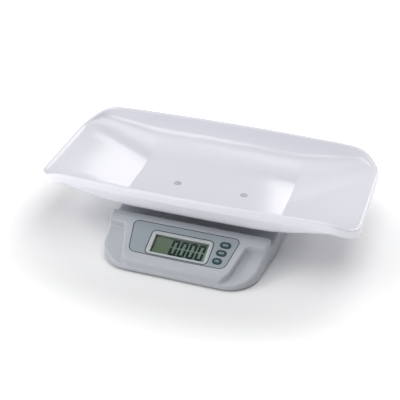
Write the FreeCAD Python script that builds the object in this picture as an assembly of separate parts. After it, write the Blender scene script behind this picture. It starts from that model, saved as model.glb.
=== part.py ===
import FreeCAD, Part
import math
import os

# Digital baby weighing scale: a moulded tray on a load cell, over a low base with a sloped display console.
# Millimetres. +X runs along the tray, -Y is the side with the display, +Z is up, z = 0 is the table.

Vec = FreeCAD.Vector

# ---- heights, from the table up ----
foot_height = 4.0
base_body_height = 28.5
console_height = 45.5
tray_gap = 16.0
tray_wall = 3.0
tray_depth = 61.0

# ---- tray ----
tray_length = 550.0
tray_end_width = 248.0
tray_side_bow = 9.0
tray_corner_radius = 47.0
tray_end_drop = 24.0
tray_drop_lead = 11.0
tray_drop_run = 80.0
tray_skirt_height = 15.3
tray_skirt_wall = 2.2
rim_radius = 3.5
rim_upstand = 0.65
rim_shoulder = 0.5
wall_foot_pull = 0.76
wall_hip_pull = 1.0
wall_hip_rise = 0.22
wall_crease_ease = 60.0
floor_length = 272.6
floor_width = 60.0
floor_spread = 0.3
floor_reach = 255.0
floor_corner_radius = 30.0
end_slope_deg = 15.05

# ---- base outline ----
console_reach = 201.0
base_back_reach = 85.0
base_width = 283.0
console_front_width = 254.6
taper_reach = 79.0
front_corner_radius = 53.0
back_corner_radius = 30.0
side_bend_radius = 150.0
shoulder_bend_radius = 60.0
housing_wall = 2.5
wall_lean = 3.0
base_edge_radius = 5.0

# ---- console ----
panel_slope_deg = 17.8
ledge_depth = 16.1
console_depth = 97.5
shoulder_reach = 70.0
neck_width = 209.0
nose_width = 176.0
console_nose_radius = 14.0
console_bend_radius = 20.0
nose_corner_radius = 26.0
neck_corner_radius = 9.0
console_corner_radius = 5.0
neck_drop = 2.0
console_front_lean = 4.5
console_edge_radius = 3.5
console_foot_radius = 4.0
sharp_turn_deg = 20.0
panel_wall = 3.0
panel_reach = 48.0

# ---- display and keys, flat on the panel ----
overlay_top_width = 185.2
overlay_bottom_width = 162.0
overlay_height = 63.6
overlay_bottom_bow = 1.6
overlay_bow_radius = 1400.0
overlay_bottom_radius = 13.0
overlay_top_radius = 9.0
overlay_thickness = 0.7
overlay_pocket = 0.8
bezel_width = 104.0
bezel_height = 46.3
bezel_centre_u = -1.5
bezel_centre_v = -5.85
bezel_lip = 0.9
bezel_skirt_inset = 2.0
bezel_corner_radius = 7.0
window_width = 91.3
window_height = 35.7
window_centre_u = -1.05
window_centre_v = -7.35
window_corner_radius = 0.8
window_rebate = 1.5
window_thickness = 1.0
window_drop = 1.2
lcd_margin = 3.2
lcd_thickness = 2.8
lcd_drop = 3.6
contact_strip_width = 3.0
holder_rim = 1.8
reflector_thickness = 0.5
board_drop = 9.0
board_thickness = 1.6
board_left = -74.0
board_right = 85.0
board_bottom = -31.6
board_top = 24.0
board_screw_inset = 4.5
board_post_radius = 3.2
chip_layout = ((0.0, -7.0, 24.0, 18.0, 1.6), (32.0, -2.0, 12.0, 8.0, 1.4), (32.0, -15.0, 4.0, 10.0, 3.4))
socket_width = 10.0
socket_depth = 7.0
socket_height = 5.0
socket_edge_gap = 2.0
cell_socket_u = -30.0
lead_socket_u = -54.0
key_names = ("power", "tare", "hold")
key_centres = ((70.2, 14.6), (68.0, -1.9), (65.6, -18.5))
key_widths = (18.3, 17.0, 15.8)
key_height = 12.0
key_stand = 0.7
key_travel = 1.0
key_thickness = 1.7
key_edge_radius = 0.4
key_stem_radius = 2.2
key_gap = 0.25
switch_size = 6.0
switch_height = 3.4
switch_floor = 0.6
plunger_radius = 1.6
plunger_rise = 1.6
plunger_gap = 0.1

# ---- weighing parts ----
cell_length = 80.0
cell_width = 12.7
cell_height = 12.7
cell_hole_edge = 5.0
cell_hole_pitch = 15.0
cell_slot_radius = 4.0
cell_slot_spread = 12.0
cell_slot_height = 3.0
cell_screw_end_gap = 3.0
gauge_length = 6.0
gauge_width = 4.0
gauge_thickness = 0.25
spacer_length = 27.0
spacer_height = 2.0
plate_thickness = 2.0
plate_length = 96.0
plate_width = 26.0
plate_screw_inset_x = 4.0
plate_screw_inset_y = 5.0
bridge_thickness = 4.0
bridge_width = 24.0
post_radius = 8.0
post_hole_gap = 2.5
tray_screw_spread = 120.0
platform_length = 212.0
platform_width = 102.0
platform_thickness = 2.0
platform_corner_radius = 12.0
flange_depth = 5.0
flange_wall = 2.0
flange_end_gap = 20.0
slot_length = 52.0
slot_width = 14.0
slot_web = 8.0
slot_offset = 28.0
slot_radius = 6.0
pad_height = 2.5
pad_radius = 7.0
pad_inset_x = 24.0
pad_inset_y = 14.0
stop_gap = 1.6
stop_inset = 9.0
stop_head_radius = 3.5
stop_head_height = 2.0
stop_nut_height = 2.6

# ---- fasteners and fits ----
fit_gap = 0.15
slide_gap = 0.3
plate_edge_gap = 0.6
m5_radius = 2.5
m4_radius = 2.0
m3_radius = 1.5
m3_head_radius = 2.8
m3_head_height = 1.8
blind_floor = 0.7
cap_radius = 6.5
cap_thickness = 1.3
cap_crown = 0.35
cap_edge = 0.05
pan_head_radius = 4.6
pan_head_height = 2.4
tray_boss_wall = 3.35
screw_end_room = 1.5
front_screw_reach = 59.0
front_screw_inset = 18.0
side_screw_reach = 147.0
side_screw_inset = 10.5
back_screw_room = 7.1
back_screw_inset = 11.0
boss_radius = 4.5
housing_boss_height = 2.5
housing_screw_bite = 7.0
screw_head_drop = 0.2
self_tap_bite = 0.2
foot_radius = 10.0
foot_recess = 1.0
foot_edge = 1.5
front_foot_inset = 29.0
back_foot_inset = 26.0
back_foot_side_inset = 15.5

# ---- battery bay ----
battery_count = 4
battery_radius = 7.15
battery_can = 49.2
battery_nub = 1.3
battery_nub_radius = 2.7
battery_lift = 0.2
contact_half = 5.0
contact_thickness = 0.4
spring_foot_radius = 4.0
spring_tip_radius = 2.0
battery_pitch = 15.0
bay_side_reach = 57.5
bay_wall = 1.5
bay_end_room = 2.15
bay_roof_gap = 0.9
bay_back_room = 4.0
rail_reach = 3.5
rail_roof = 2.0
door_overlap = 2.0
door_tongue = 1.2
door_tongue_low = 0.9
door_tongue_thickness = 1.2
door_tongue_length = 30.0
door_thickness = 2.2
door_lip_height = 14.0
grip_width = 28.0
grip_pitch = 2.0
grip_groove = 0.8
grip_depth = 1.2
grip_count = 5
cable_radius = 1.6
cable_bend = 6.0
cable_exit = 8.0
cable_turn_reach = 40.0
lead_inset = 12.0

# ---- worked out from the sizes above ----
base_bottom_z = foot_height
deck_z = base_bottom_z + base_body_height
ledge_z = base_bottom_z + console_height
tray_under_z = deck_z + tray_gap
floor_z = tray_under_z + tray_wall
crest_z = floor_z + tray_depth
tray_half_length = tray_length / 2
tray_end_half = tray_end_width / 2
tray_mid_half = tray_end_half + tray_side_bow
tray_y = (console_reach - tray_mid_half) / 2
base_front_y = tray_y - console_reach
base_back_y = tray_y + base_back_reach
console_back_y = base_front_y + console_depth
slope_start_y = console_back_y - ledge_depth
shoulder_y = base_front_y + shoulder_reach
panel_y = base_front_y + panel_reach
panel_rise = math.tan(math.radians(panel_slope_deg))
panel_z = ledge_z - (slope_start_y - panel_y) * panel_rise
end_rise = math.tan(math.radians(end_slope_deg))
base_inner_z = base_bottom_z + housing_wall
plate_top_z = base_inner_z + plate_thickness
cell_bottom_z = plate_top_z + spacer_height
cell_top_z = cell_bottom_z + cell_height
bridge_bottom_z = cell_top_z + spacer_height
bridge_top_z = bridge_bottom_z + bridge_thickness
platform_top_z = tray_under_z - pad_height
platform_bottom_z = platform_top_z - platform_thickness
bay_centre_x = bay_side_reach - base_width / 2
bay_inner_x = bay_centre_x + (battery_can + battery_nub) / 2 + bay_end_room + bay_wall + rail_reach
tongue_low_z = base_bottom_z + door_tongue_low
tongue_high_z = tongue_low_z + door_tongue_thickness
well_radius = cap_radius + fit_gap
well_floor_z = floor_z - cap_thickness - pan_head_height - 2 * fit_gap


# ======== shared shapes ========

def rounded_outline(corners, radii, inset=0.0):
    """Closed line of straight runs and tangent arcs. Corners run anticlockwise, inset moves it inwards."""
    count = len(corners)
    moved = []
    for i in range(count):
        before = Vec(*corners[i - 1], 0)
        here = Vec(*corners[i], 0)
        after = Vec(*corners[(i + 1) % count], 0)
        way_in = (here - before).normalize()
        way_out = (after - here).normalize()
        side_in = Vec(-way_in.y, way_in.x, 0)
        side_out = Vec(-way_out.y, way_out.x, 0)
        middle = side_in + side_out
        moved.append(here + middle * (2 * inset / middle.Length ** 2))
    edges = []
    spans = []
    for i in range(count):
        before = moved[i - 1]
        here = moved[i]
        after = moved[(i + 1) % count]
        way_in = (here - before).normalize()
        way_out = (after - here).normalize()
        left_turn = way_in.cross(way_out).z > 0
        radius = radii[i] - inset if left_turn else radii[i] + inset
        radius = max(radius, 0.05)
        turn = way_in.getAngle(way_out)
        reach = radius * math.tan(turn / 2)
        start = here - way_in * reach
        stop = here + way_out * reach
        inward = (way_out - way_in).normalize()
        middle = here + inward * (radius / math.cos(turn / 2) - radius)
        spans.append((start, middle, stop))
    for i in range(count):
        start, middle, stop = spans[i]
        edges.append(Part.LineSegment(spans[i - 1][2], start).toShape())
        edges.append(Part.Arc(start, middle, stop).toShape())
    return Part.Wire(edges)


def prism(wire, low, high):
    """Upright solid on a flat line, between two heights."""
    face = Part.Face(wire)
    face.translate(Vec(0, 0, low))
    return face.extrude(Vec(0, 0, high - low))


def leaning_prism(corners, radii, low, high, inset):
    """Upright solid whose walls lean inwards by wall_lean over the tray's height."""
    lean = wall_lean / crest_z
    bottom = rounded_outline(corners, radii, inset + lean * (low - base_bottom_z))
    top = rounded_outline(corners, radii, inset + lean * (high - base_bottom_z))
    bottom.translate(Vec(0, 0, low))
    top.translate(Vec(0, 0, high))
    return Part.makeLoft([bottom, top], True, True)


def side_profile(points, radii, half_width):
    """Solid along X whose section in the YZ plane is a rounded line."""
    wire = rounded_outline(points, radii)
    face = Part.Face(wire)
    face.rotate(Vec(0, 0, 0), Vec(1, 0, 0), 90)
    face.rotate(Vec(0, 0, 0), Vec(0, 0, 1), 90)
    face.translate(Vec(-half_width, 0, 0))
    return face.extrude(Vec(2 * half_width, 0, 0))


def box(x0, x1, y0, y1, z0, z1):
    """Plain block between two corners."""
    return Part.makeBox(x1 - x0, y1 - y0, z1 - z0, Vec(x0, y0, z0))


def disc(radius, x, y, z0, z1):
    """Upright cylinder between two heights."""
    return Part.makeCylinder(radius, z1 - z0, Vec(x, y, z0))


def rounded_block(width, height, radius, u, v, low, high):
    """Block with rounded corners, centred at u, v."""
    w = width / 2
    h = height / 2
    corners = [(u - w, v - h), (u + w, v - h), (u + w, v + h), (u - w, v + h)]
    return prism(rounded_outline(corners, [radius] * 4), low, high)


def on_panel(shape):
    """Move a shape made flat at the origin onto the sloping panel of the console."""
    placed = shape.copy()
    placed.rotate(Vec(0, 0, 0), Vec(1, 0, 0), panel_slope_deg)
    placed.translate(Vec(0, panel_y, panel_z))
    return placed


def turned(points, x, y):
    """Solid of revolution about an upright axis, from radius and height pairs."""
    line = [Vec(r, 0, z) for r, z in points]
    line.append(line[0])
    face = Part.Face(Part.makePolygon(line))
    solid = face.revolve(Vec(0, 0, 0), Vec(0, 0, 1), 360)
    solid.translate(Vec(x, y, 0))
    return solid


def cable(points, bend_radius):
    """Round cable along straight runs joined by tangent arcs."""
    edges = []
    last = points[0]
    for i in range(1, len(points) - 1):
        here = points[i]
        way_in = (here - points[i - 1]).normalize()
        way_out = (points[i + 1] - here).normalize()
        turn = way_in.getAngle(way_out)
        reach = bend_radius * math.tan(turn / 2)
        start = here - way_in * reach
        stop = here + way_out * reach
        inward = (way_out - way_in).normalize()
        middle = here + inward * (bend_radius / math.cos(turn / 2) - bend_radius)
        edges.append(Part.LineSegment(last, start).toShape())
        edges.append(Part.Arc(start, middle, stop).toShape())
        last = stop
    edges.append(Part.LineSegment(last, points[-1]).toShape())
    path = Part.Wire(edges)
    way = (points[1] - points[0]).normalize()
    ring = Part.Wire([Part.Circle(points[0], way, cable_radius).toShape()])
    return path.makePipeShell([ring], True, True)


def export(name, shapes):
    """Write one node: a single solid, or a group of separate solids."""
    solids = []
    for shape in shapes:
        solids.extend(shape.Solids)
    node = solids[0] if len(solids) == 1 else Part.makeCompound(solids)
    node.exportStep("parts/" + name + ".step")


# ======== tray ========

def rim_drop(travel):
    """Share of the rim's drop, by the way travelled along the outline past a corner's start."""
    part = (travel + tray_drop_lead) / tray_drop_run
    part = min(1.0, max(0.0, part))
    return part * part * (3 - 2 * part)


def floor_height(x, ease):
    """Height of the tray's floor: flat, then sloping up to each end past a crease of an eased width."""
    past = abs(x) - floor_length / 2
    if abs(past) < ease:
        past = (past + ease) ** 2 / (4 * ease)
    return floor_z + max(0.0, past) * end_rise


def rim_plan(side, part):
    """Place, outward way and drop of the rim, from the crease (0) round a corner to the end's middle (3)."""
    straight_end = tray_half_length - tray_corner_radius
    quarter = tray_corner_radius * math.pi / 2
    if part <= 1.0:
        travel = (floor_length / 2 - straight_end) * (1.0 - part)
        point = Vec(straight_end + travel, tray_end_half, 0)
        way = Vec(0, 1, 0)
    elif part <= 2.0:
        travel = quarter * (part - 1.0)
        angle = math.pi / 2 * (2.0 - part)
        way = Vec(math.cos(angle), math.sin(angle), 0)
        point = Vec(straight_end, tray_end_half - tray_corner_radius, 0) + way * tray_corner_radius
    else:
        half_end = tray_end_half - tray_corner_radius
        travel = quarter + half_end * (part - 2.0)
        point = Vec(tray_half_length, half_end * (3.0 - part), 0)
        way = Vec(1, 0, 0)
    swell = 1 + tray_side_bow / tray_end_half * (1 - (point.x / tray_half_length) ** 2)
    return Vec(point.x, point.y * swell * side, 0), Vec(way.x, way.y * side, 0), rim_drop(travel)


def floor_plan(side, part):
    """Point on the edge of the flat floor, matched to the same part of the rim."""
    straight_end = floor_reach - floor_corner_radius
    spread = (straight_end - floor_length / 2) * floor_spread
    half = floor_width / 2 + spread
    if part <= 1.0:
        x = floor_length / 2 + (straight_end - floor_length / 2) * part
        return Vec(x, (half - spread * (1.0 - part)) * side, 0)
    if part <= 2.0:
        angle = math.pi / 2 * (2.0 - part)
        x = straight_end + floor_corner_radius * math.cos(angle)
        y = half - floor_corner_radius + floor_corner_radius * math.sin(angle)
        return Vec(x, y * side, 0)
    return Vec(floor_reach, (half - floor_corner_radius) * (3.0 - part) * side, 0)


def wall_curve(run, rise, part):
    """Inside of the wall as distance and height above the floor's plane: flat at the foot, steep at the top."""
    foot = 3 * part * (1 - part) ** 2
    hip = 3 * part * part * (1 - part)
    top = part ** 3
    distance = run * (wall_foot_pull * foot + wall_hip_pull * hip + top)
    height = rise * (wall_hip_rise * hip + top)
    return distance, height


def tray_section(foot, edge, way, drop):
    """Poles of one section: up the inside, over the rim, down the skirt and back under the floor."""
    steps = 8
    crest = crest_z - tray_end_drop * drop
    inner_top = edge - way * (2 * rim_radius)
    upstand = 1 - rim_upstand * drop
    top_z = crest - rim_radius * upstand
    across = inner_top - foot
    run = across.Length
    across.normalize()
    rise = top_z - floor_height(inner_top.x, wall_crease_ease)
    inside = [wall_curve(run, rise, i / steps) for i in range(steps + 1)]
    eases = [wall_crease_ease * max(0, i - 1) / (steps - 1) for i in range(steps)]
    under = []
    for i in range(steps + 1):
        d, h = inside[i]
        before = inside[max(i - 1, 0)]
        after = inside[min(i + 1, steps)]
        tangent = Vec(after[0] - before[0], after[1] - before[1], 0)
        tangent.normalize()
        if i == 0:
            tangent = Vec(1, 0, 0)
        under.append((d + tangent.y * tray_wall, h - tangent.x * tray_wall))
    poles = []
    for (d, h), ease in zip(inside, eases):
        place = foot + across * d
        poles.append(Vec(place.x, place.y, floor_height(place.x, ease) + h))
    skirt_bottom = crest - tray_skirt_height
    r = rim_radius
    t = tray_skirt_wall
    shoulder = r * rim_shoulder * drop
    rim = [(2 * r, top_z), (2 * r - shoulder, crest - 0.3 * r * (1 - drop)),
           (r - shoulder * 0.8, crest + 0.16 * r), (0.0, crest - 0.3 * r),
           (0.0, crest - r), (0.0, (crest + skirt_bottom) / 2), (0.0, skirt_bottom), (0.0, skirt_bottom),
           (t, skirt_bottom), (t, skirt_bottom), (t, crest - 2.6 * r), (t + 0.2, crest - 1.5 * r)]
    for inward, z in rim:
        place = edge - way * inward
        poles.append(Vec(place.x, place.y, z))
    for (d, h), ease in reversed(list(zip(under, eases))):
        place = foot + across * d
        poles.append(Vec(place.x, place.y, floor_height(place.x, ease) + h))
    return poles


def clamped_knots(count, degree):
    """Even knots with full ends for a given number of poles."""
    inner = count - degree - 1
    knots = [float(i) for i in range(inner + 2)]
    mults = [degree + 1] + [1] * inner + [degree + 1]
    return knots, mults


def spline_face(rows):
    """Cubic surface over a net of poles."""
    u_knots, u_mults = clamped_knots(len(rows), 3)
    v_knots, v_mults = clamped_knots(len(rows[0]), 3)
    surface = Part.BSplineSurface()
    surface.buildFromPolesMultsKnots(rows, u_mults, v_mults, u_knots, v_knots, False, False, 3, 3)
    return surface.toShape()


def mirrored_row(row):
    """The same section on the other end of the tray."""
    return [Vec(-p.x, p.y, p.z) for p in row]


def tray_shell():
    """Pan of the tray: two end patches, two side patches, and the flat floors above and below."""
    side_steps = [i / 4 for i in range(4)]
    corner_steps = [1 + i / 8 for i in range(8)]
    end_steps = [2 + i / 3 for i in range(4)]
    parts = side_steps + corner_steps + end_steps
    back = []
    front = []
    for part in parts:
        edge, way, drop = rim_plan(1, part)
        back.append(tray_section(floor_plan(1, part), edge, way, drop))
        edge, way, drop = rim_plan(-1, part)
        front.append(tray_section(floor_plan(-1, part), edge, way, drop))
    right_rows = back + front[-2::-1]
    left_rows = [mirrored_row(row) for row in right_rows]
    faces = [spline_face(right_rows), spline_face(left_rows)]
    crease = floor_length / 2
    columns = 11
    for side in (1, -1):
        rows = []
        for i in range(columns):
            x = crease - 2 * crease * i / (columns - 1)
            swell = 1 + tray_side_bow / tray_end_half * (1 - (x / tray_half_length) ** 2)
            edge = Vec(x, tray_end_half * swell * side, 0)
            foot = Vec(x, floor_width / 2 * side, 0)
            rows.append(tray_section(foot, edge, Vec(0, side, 0), 0.0))
        faces.append(spline_face(rows))
    for level in (0, -1):
        for rows in (right_rows, left_rows):
            line = [row[level] for row in rows]
            knots, mults = clamped_knots(len(line), 3)
            curve = Part.BSplineCurve()
            curve.buildFromPolesMultsKnots(line, mults, knots, False, 3)
            closing = Part.LineSegment(line[-1], line[0])
            faces.append(Part.Face(Part.Wire([curve.toShape(), closing.toShape()])))
        z = floor_z if level == 0 else tray_under_z
        half = floor_width / 2
        ring = [Vec(-crease, -half, z), Vec(crease, -half, z), Vec(crease, half, z), Vec(-crease, half, z)]
        ring.append(ring[0])
        faces.append(Part.Face(Part.makePolygon(ring)))
    shell = Part.makeShell(faces)
    shell.sewShape()
    solid = Part.Solid(shell)
    if solid.Volume < 0:
        solid.reverse()
    solid.translate(Vec(0, tray_y, 0))
    return solid


def tray_screw_places():
    """The two screws that hold the tray, on its long centre line."""
    return [(-tray_screw_spread / 2, tray_y), (tray_screw_spread / 2, tray_y)]


def make_tray():
    """Tray with a boss and a stepped screw hole at each fixing."""
    tray = tray_shell()
    for x, y in tray_screw_places():
        tray = tray.fuse(disc(well_radius + tray_boss_wall, x, y, platform_top_z, tray_under_z + tray_wall / 2))
    for x, y in tray_screw_places():
        tray = tray.cut(disc(well_radius, x, y, well_floor_z, floor_z + 1))
        tray = tray.cut(disc(m5_radius + fit_gap, x, y, platform_top_z - 1, floor_z))
    export("tray", [tray])


def make_tray_screws():
    """Pan-head screws from the tray's wells down into the posts of the bridge."""
    screws = []
    for x, y in tray_screw_places():
        head = disc(pan_head_radius, x, y, well_floor_z, well_floor_z + pan_head_height)
        shank = disc(m5_radius, x, y, bridge_top_z + screw_end_room, well_floor_z)
        screws.append(head.fuse(shank).removeSplitter())
    export("tray_screws", screws)


def make_screw_caps():
    """Low domed caps that close the wells flush with the tray's floor."""
    caps = []
    top = floor_z + cap_crown
    rim = floor_z + cap_edge
    low = floor_z - cap_thickness
    for x, y in tray_screw_places():
        points = [(0, low), (cap_radius, low), (cap_radius, rim), (cap_radius * 0.8, top), (0, top)]
        caps.append(turned(points, x, y))
    export("screw_caps", caps)


# ======== platform and load cell ========

def corner_places(half_x, half_y):
    """Four places round the middle of the tray."""
    return [(sx * half_x, tray_y + sy * half_y) for sx in (-1, 1) for sy in (-1, 1)]


def stop_places():
    """Four stop screws near the platform's corners."""
    return corner_places(platform_length / 2 - stop_inset, platform_width / 2 - stop_inset)


def make_tray_platform():
    """Flat steel platform under the tray, with folded stiffening edges and four lightening slots."""
    plate = rounded_block(platform_length, platform_width, platform_corner_radius, 0, tray_y,
                          platform_bottom_z, platform_top_z)
    flange_half = platform_length / 2 - flange_end_gap
    for side in (-1, 1):
        y = tray_y + side * (platform_width - flange_wall) / 2
        flange = box(-flange_half, flange_half, y - flange_wall / 2, y + flange_wall / 2,
                     platform_bottom_z - flange_depth, platform_bottom_z)
        plate = plate.fuse(flange)
    for x, y in corner_places((slot_length + slot_web) / 2, slot_offset):
        slot = rounded_block(slot_length, slot_width, slot_radius, x, y, platform_bottom_z - 1,
                             platform_top_z + 1)
        plate = plate.cut(slot)
    for x, y in tray_screw_places():
        plate = plate.cut(disc(m5_radius + fit_gap, x, y, platform_bottom_z - 1, platform_top_z + 1))
    for x, y in stop_places():
        plate = plate.cut(disc(m4_radius + fit_gap, x, y, platform_bottom_z - 1, platform_top_z + 1))
    export("tray_platform", [plate.removeSplitter()])


def make_platform_pads():
    """Silicone pads between the platform and the tray."""
    places = corner_places(platform_length / 2 - pad_inset_x, platform_width / 2 - pad_inset_y)
    export("platform_pads", [disc(pad_radius, x, y, platform_top_z, tray_under_z) for x, y in places])


def make_stop_screws():
    """Overload stops: screws in the platform that meet the base before the load cell bends too far."""
    screws = []
    for x, y in stop_places():
        head = disc(stop_head_radius, x, y, platform_top_z, platform_top_z + stop_head_height)
        shank = disc(m4_radius, x, y, deck_z + stop_gap, platform_top_z)
        nut = disc(stop_head_radius, x, y, platform_bottom_z - stop_nut_height, platform_bottom_z)
        screws.append(head.fuse([shank, nut]).removeSplitter())
    export("stop_screws", screws)


def make_load_bridge():
    """Cast bridge over the load cell, with two posts that pass up through the base's deck."""
    half = tray_screw_spread / 2 + post_radius
    bar = rounded_block(2 * half, bridge_width, post_radius, 0, tray_y, bridge_bottom_z, bridge_top_z)
    for x, y in tray_screw_places():
        bar = bar.fuse(disc(post_radius, x, y, bridge_bottom_z, platform_bottom_z))
    for x, y in tray_screw_places():
        bar = bar.cut(disc(m5_radius + fit_gap / 2, x, y, bridge_top_z, platform_bottom_z + 1))
    for x in cell_hole_places(1):
        bar = bar.cut(countersunk(x, bridge_top_z, bridge_bottom_z - 1, fit_gap))
    export("load_bridge", [bar.removeSplitter()])


def cell_hole_places(end):
    """X of the two screw holes at one end of the load cell."""
    first = cell_length / 2 - cell_hole_edge
    return [end * first, end * (first - cell_hole_pitch)]


def countersunk(x, face_z, tip_z, grow):
    """Flat-head M4 screw, head flush with face_z and tip at tip_z, up or down."""
    sign = 1 if face_z > tip_z else -1
    head = m4_radius * 1.9 + grow
    body = m4_radius + grow
    points = [(0, face_z), (head, face_z), (body, face_z - sign * (head - body)), (body, tip_z), (0, tip_z)]
    return turned(points, x, tray_y)


def make_cell_screws():
    """Flat-head screws: two up through the base plate, two down through the bridge."""
    grip = cell_height - cell_screw_end_gap
    lower = [countersunk(x, base_inner_z, cell_bottom_z + grip, 0.0) for x in cell_hole_places(-1)]
    upper = [countersunk(x, bridge_top_z, cell_top_z - grip, 0.0) for x in cell_hole_places(1)]
    export("cell_lower_screws", lower)
    export("cell_upper_screws", upper)


def make_load_cell():
    """Aluminium bar with the double round hole that lets it bend as a parallelogram."""
    half = cell_length / 2
    bar = box(-half, half, tray_y - cell_width / 2, tray_y + cell_width / 2, cell_bottom_z, cell_top_z)
    middle_z = (cell_bottom_z + cell_top_z) / 2
    spread = cell_slot_spread / 2
    for side in (-1, 1):
        start = Vec(side * spread, tray_y - cell_width, middle_z)
        bar = bar.cut(Part.makeCylinder(cell_slot_radius, 2 * cell_width, start, Vec(0, 1, 0)))
    bar = bar.cut(box(-spread, spread, tray_y - cell_width, tray_y + cell_width,
                      middle_z - cell_slot_height / 2, middle_z + cell_slot_height / 2))
    for end in (-1, 1):
        for x in cell_hole_places(end):
            bar = bar.cut(disc(m4_radius + fit_gap / 2, x, tray_y, cell_bottom_z - 1, cell_top_z + 1))
    export("load_cell", [bar])


def make_strain_gauges():
    """Four foil gauges over the thin spots of the bar."""
    foils = []
    for side in (-1, 1):
        x = side * cell_slot_spread / 2
        for low in (cell_bottom_z - gauge_thickness, cell_top_z):
            foils.append(box(x - gauge_length / 2, x + gauge_length / 2, tray_y - gauge_width / 2,
                             tray_y + gauge_width / 2, low, low + gauge_thickness))
    export("strain_gauges", foils)


def make_spacers():
    """Steel spacers that leave the middle of the load cell free."""
    for name, end, low in (("lower_spacer", -1, plate_top_z), ("upper_spacer", 1, cell_top_z)):
        x_outer = end * cell_length / 2
        x_inner = end * (cell_length / 2 - spacer_length)
        block = box(min(x_outer, x_inner), max(x_outer, x_inner), tray_y - cell_width / 2,
                    tray_y + cell_width / 2, low, low + spacer_height)
        for x in cell_hole_places(end):
            block = block.cut(disc(m4_radius + fit_gap, x, tray_y, low - 1, low + spacer_height + 1))
        export(name, [block])


def plate_screw_places():
    """Four screws at the corners of the load cell's base plate."""
    return corner_places(plate_length / 2 - plate_screw_inset_x, plate_width / 2 - plate_screw_inset_y)


def make_cell_plate():
    """Steel plate that carries the fixed end of the load cell."""
    plate = rounded_block(plate_length, plate_width, 3, 0, tray_y, base_inner_z, plate_top_z)
    for x, y in plate_screw_places():
        plate = plate.cut(disc(m3_radius + fit_gap, x, y, base_inner_z - 1, plate_top_z + 1))
    for x in cell_hole_places(-1):
        plate = plate.cut(countersunk(x, base_inner_z, plate_top_z + 1, fit_gap))
    export("cell_plate", [plate])
    screws = []
    for x, y in plate_screw_places():
        head = disc(m3_head_radius, x, y, plate_top_z, plate_top_z + m3_head_height)
        shank = disc(m3_radius, x, y, base_bottom_z + blind_floor, plate_top_z)
        screws.append(head.fuse(shank).removeSplitter())
    export("cell_plate_screws", screws)


# ======== base housing ========

def side_x(y):
    """Half width of the base along its tapering side."""
    taper_start = tray_y - taper_reach
    slope = (base_width - console_front_width) / 2 / (taper_start - base_front_y)
    return base_width / 2 - slope * max(0.0, taper_start - y)


def base_outline():
    """Corners and radii of the base seen from above."""
    front = console_front_width / 2
    wide = base_width / 2
    taper_start = tray_y - taper_reach
    corners = [(-front, base_front_y), (front, base_front_y), (wide, taper_start), (wide, base_back_y),
               (-wide, base_back_y), (-wide, taper_start)]
    radii = [front_corner_radius, front_corner_radius, side_bend_radius, back_corner_radius,
             back_corner_radius, side_bend_radius]
    return corners, radii


def console_outline():
    """Corners and radii of the raised console: full width at the back, a narrower nose in front."""
    back = side_x(console_back_y)
    shoulder = side_x(shoulder_y)
    neck = neck_width / 2
    nose = nose_width / 2
    neck_y = shoulder_y - neck_drop
    corners = [(-nose, base_front_y), (nose, base_front_y), (neck, neck_y), (shoulder, shoulder_y),
               (back, console_back_y), (-back, console_back_y), (-shoulder, shoulder_y), (-neck, neck_y)]
    corner = console_corner_radius
    radii = [nose_corner_radius, nose_corner_radius, neck_corner_radius, corner, corner, corner, corner,
             neck_corner_radius]
    return corners, radii


def low_body(inset):
    """Lower tier of the base, to its deck and sloping shoulders; inset gives the hollow inside."""
    corners, radii = base_outline()
    body = leaning_prism(corners, radii, base_bottom_z - 1, ledge_z, inset)
    top = deck_z - inset
    front_z = top - shoulder_reach * panel_rise
    far = base_back_reach + console_reach
    points = [(base_back_y + far, -far), (base_back_y + far, top), (shoulder_y, top),
              (base_front_y - far, front_z - far * panel_rise), (base_front_y - far, -far)]
    profile = side_profile(points, [1, 1, shoulder_bend_radius, 1, 1], base_width)
    return body.common(profile)


def console_body(inset):
    """Raised console with its sloping panel and rounded nose; inset gives the hollow inside."""
    corners, radii = console_outline()
    body = leaning_prism(corners, radii, base_bottom_z - 1, ledge_z + 5, inset + fit_gap)
    top = ledge_z - inset
    slope_shift = inset * math.tan(math.radians(panel_slope_deg / 2))
    front_top_y = base_front_y + console_front_lean + inset
    nose_z = top - (slope_start_y - slope_shift - front_top_y) * panel_rise
    points = [(base_front_y + inset, base_bottom_z - 1), (base_back_y, base_bottom_z - 1),
              (base_back_y, top), (slope_start_y - slope_shift, top), (front_top_y, nose_z)]
    radii = [0.5, 0.5, 0.5, console_bend_radius, max(console_nose_radius - inset, 1)]
    profile = side_profile(points, radii, base_width)
    return body.common(profile)


def round_top(solid, radius, low):
    """Round the sharp edges that lie above a height."""
    sharp = []
    for edge in solid.Edges:
        if edge.BoundBox.ZMin > low:
            middle = edge.valueAt((edge.FirstParameter + edge.LastParameter) / 2)
            normals = []
            for face in solid.ancestorsOfType(edge, Part.Face):
                u, v = face.Surface.parameter(middle)
                normals.append(face.normalAt(u, v))
            if normals[0].getAngle(normals[-1]) > math.radians(sharp_turn_deg):
                sharp.append(edge)
    return solid.makeFillet(radius, sharp)


def outer_body():
    """Outside of the housing, with its top edges and the console's foot rounded."""
    low = round_top(low_body(0.0), base_edge_radius, base_bottom_z)
    console = round_top(console_body(0.0), console_edge_radius, base_bottom_z)
    return round_top(low.fuse(console), console_foot_radius, base_bottom_z)


def inner_body():
    """Hollow of the housing, open downwards."""
    return low_body(housing_wall).fuse(console_body(panel_wall))


def both_sides(places):
    """Places given for +X, and the same places mirrored to -X."""
    return [(side * x, y) for x, y in places for side in (-1, 1)]


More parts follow.
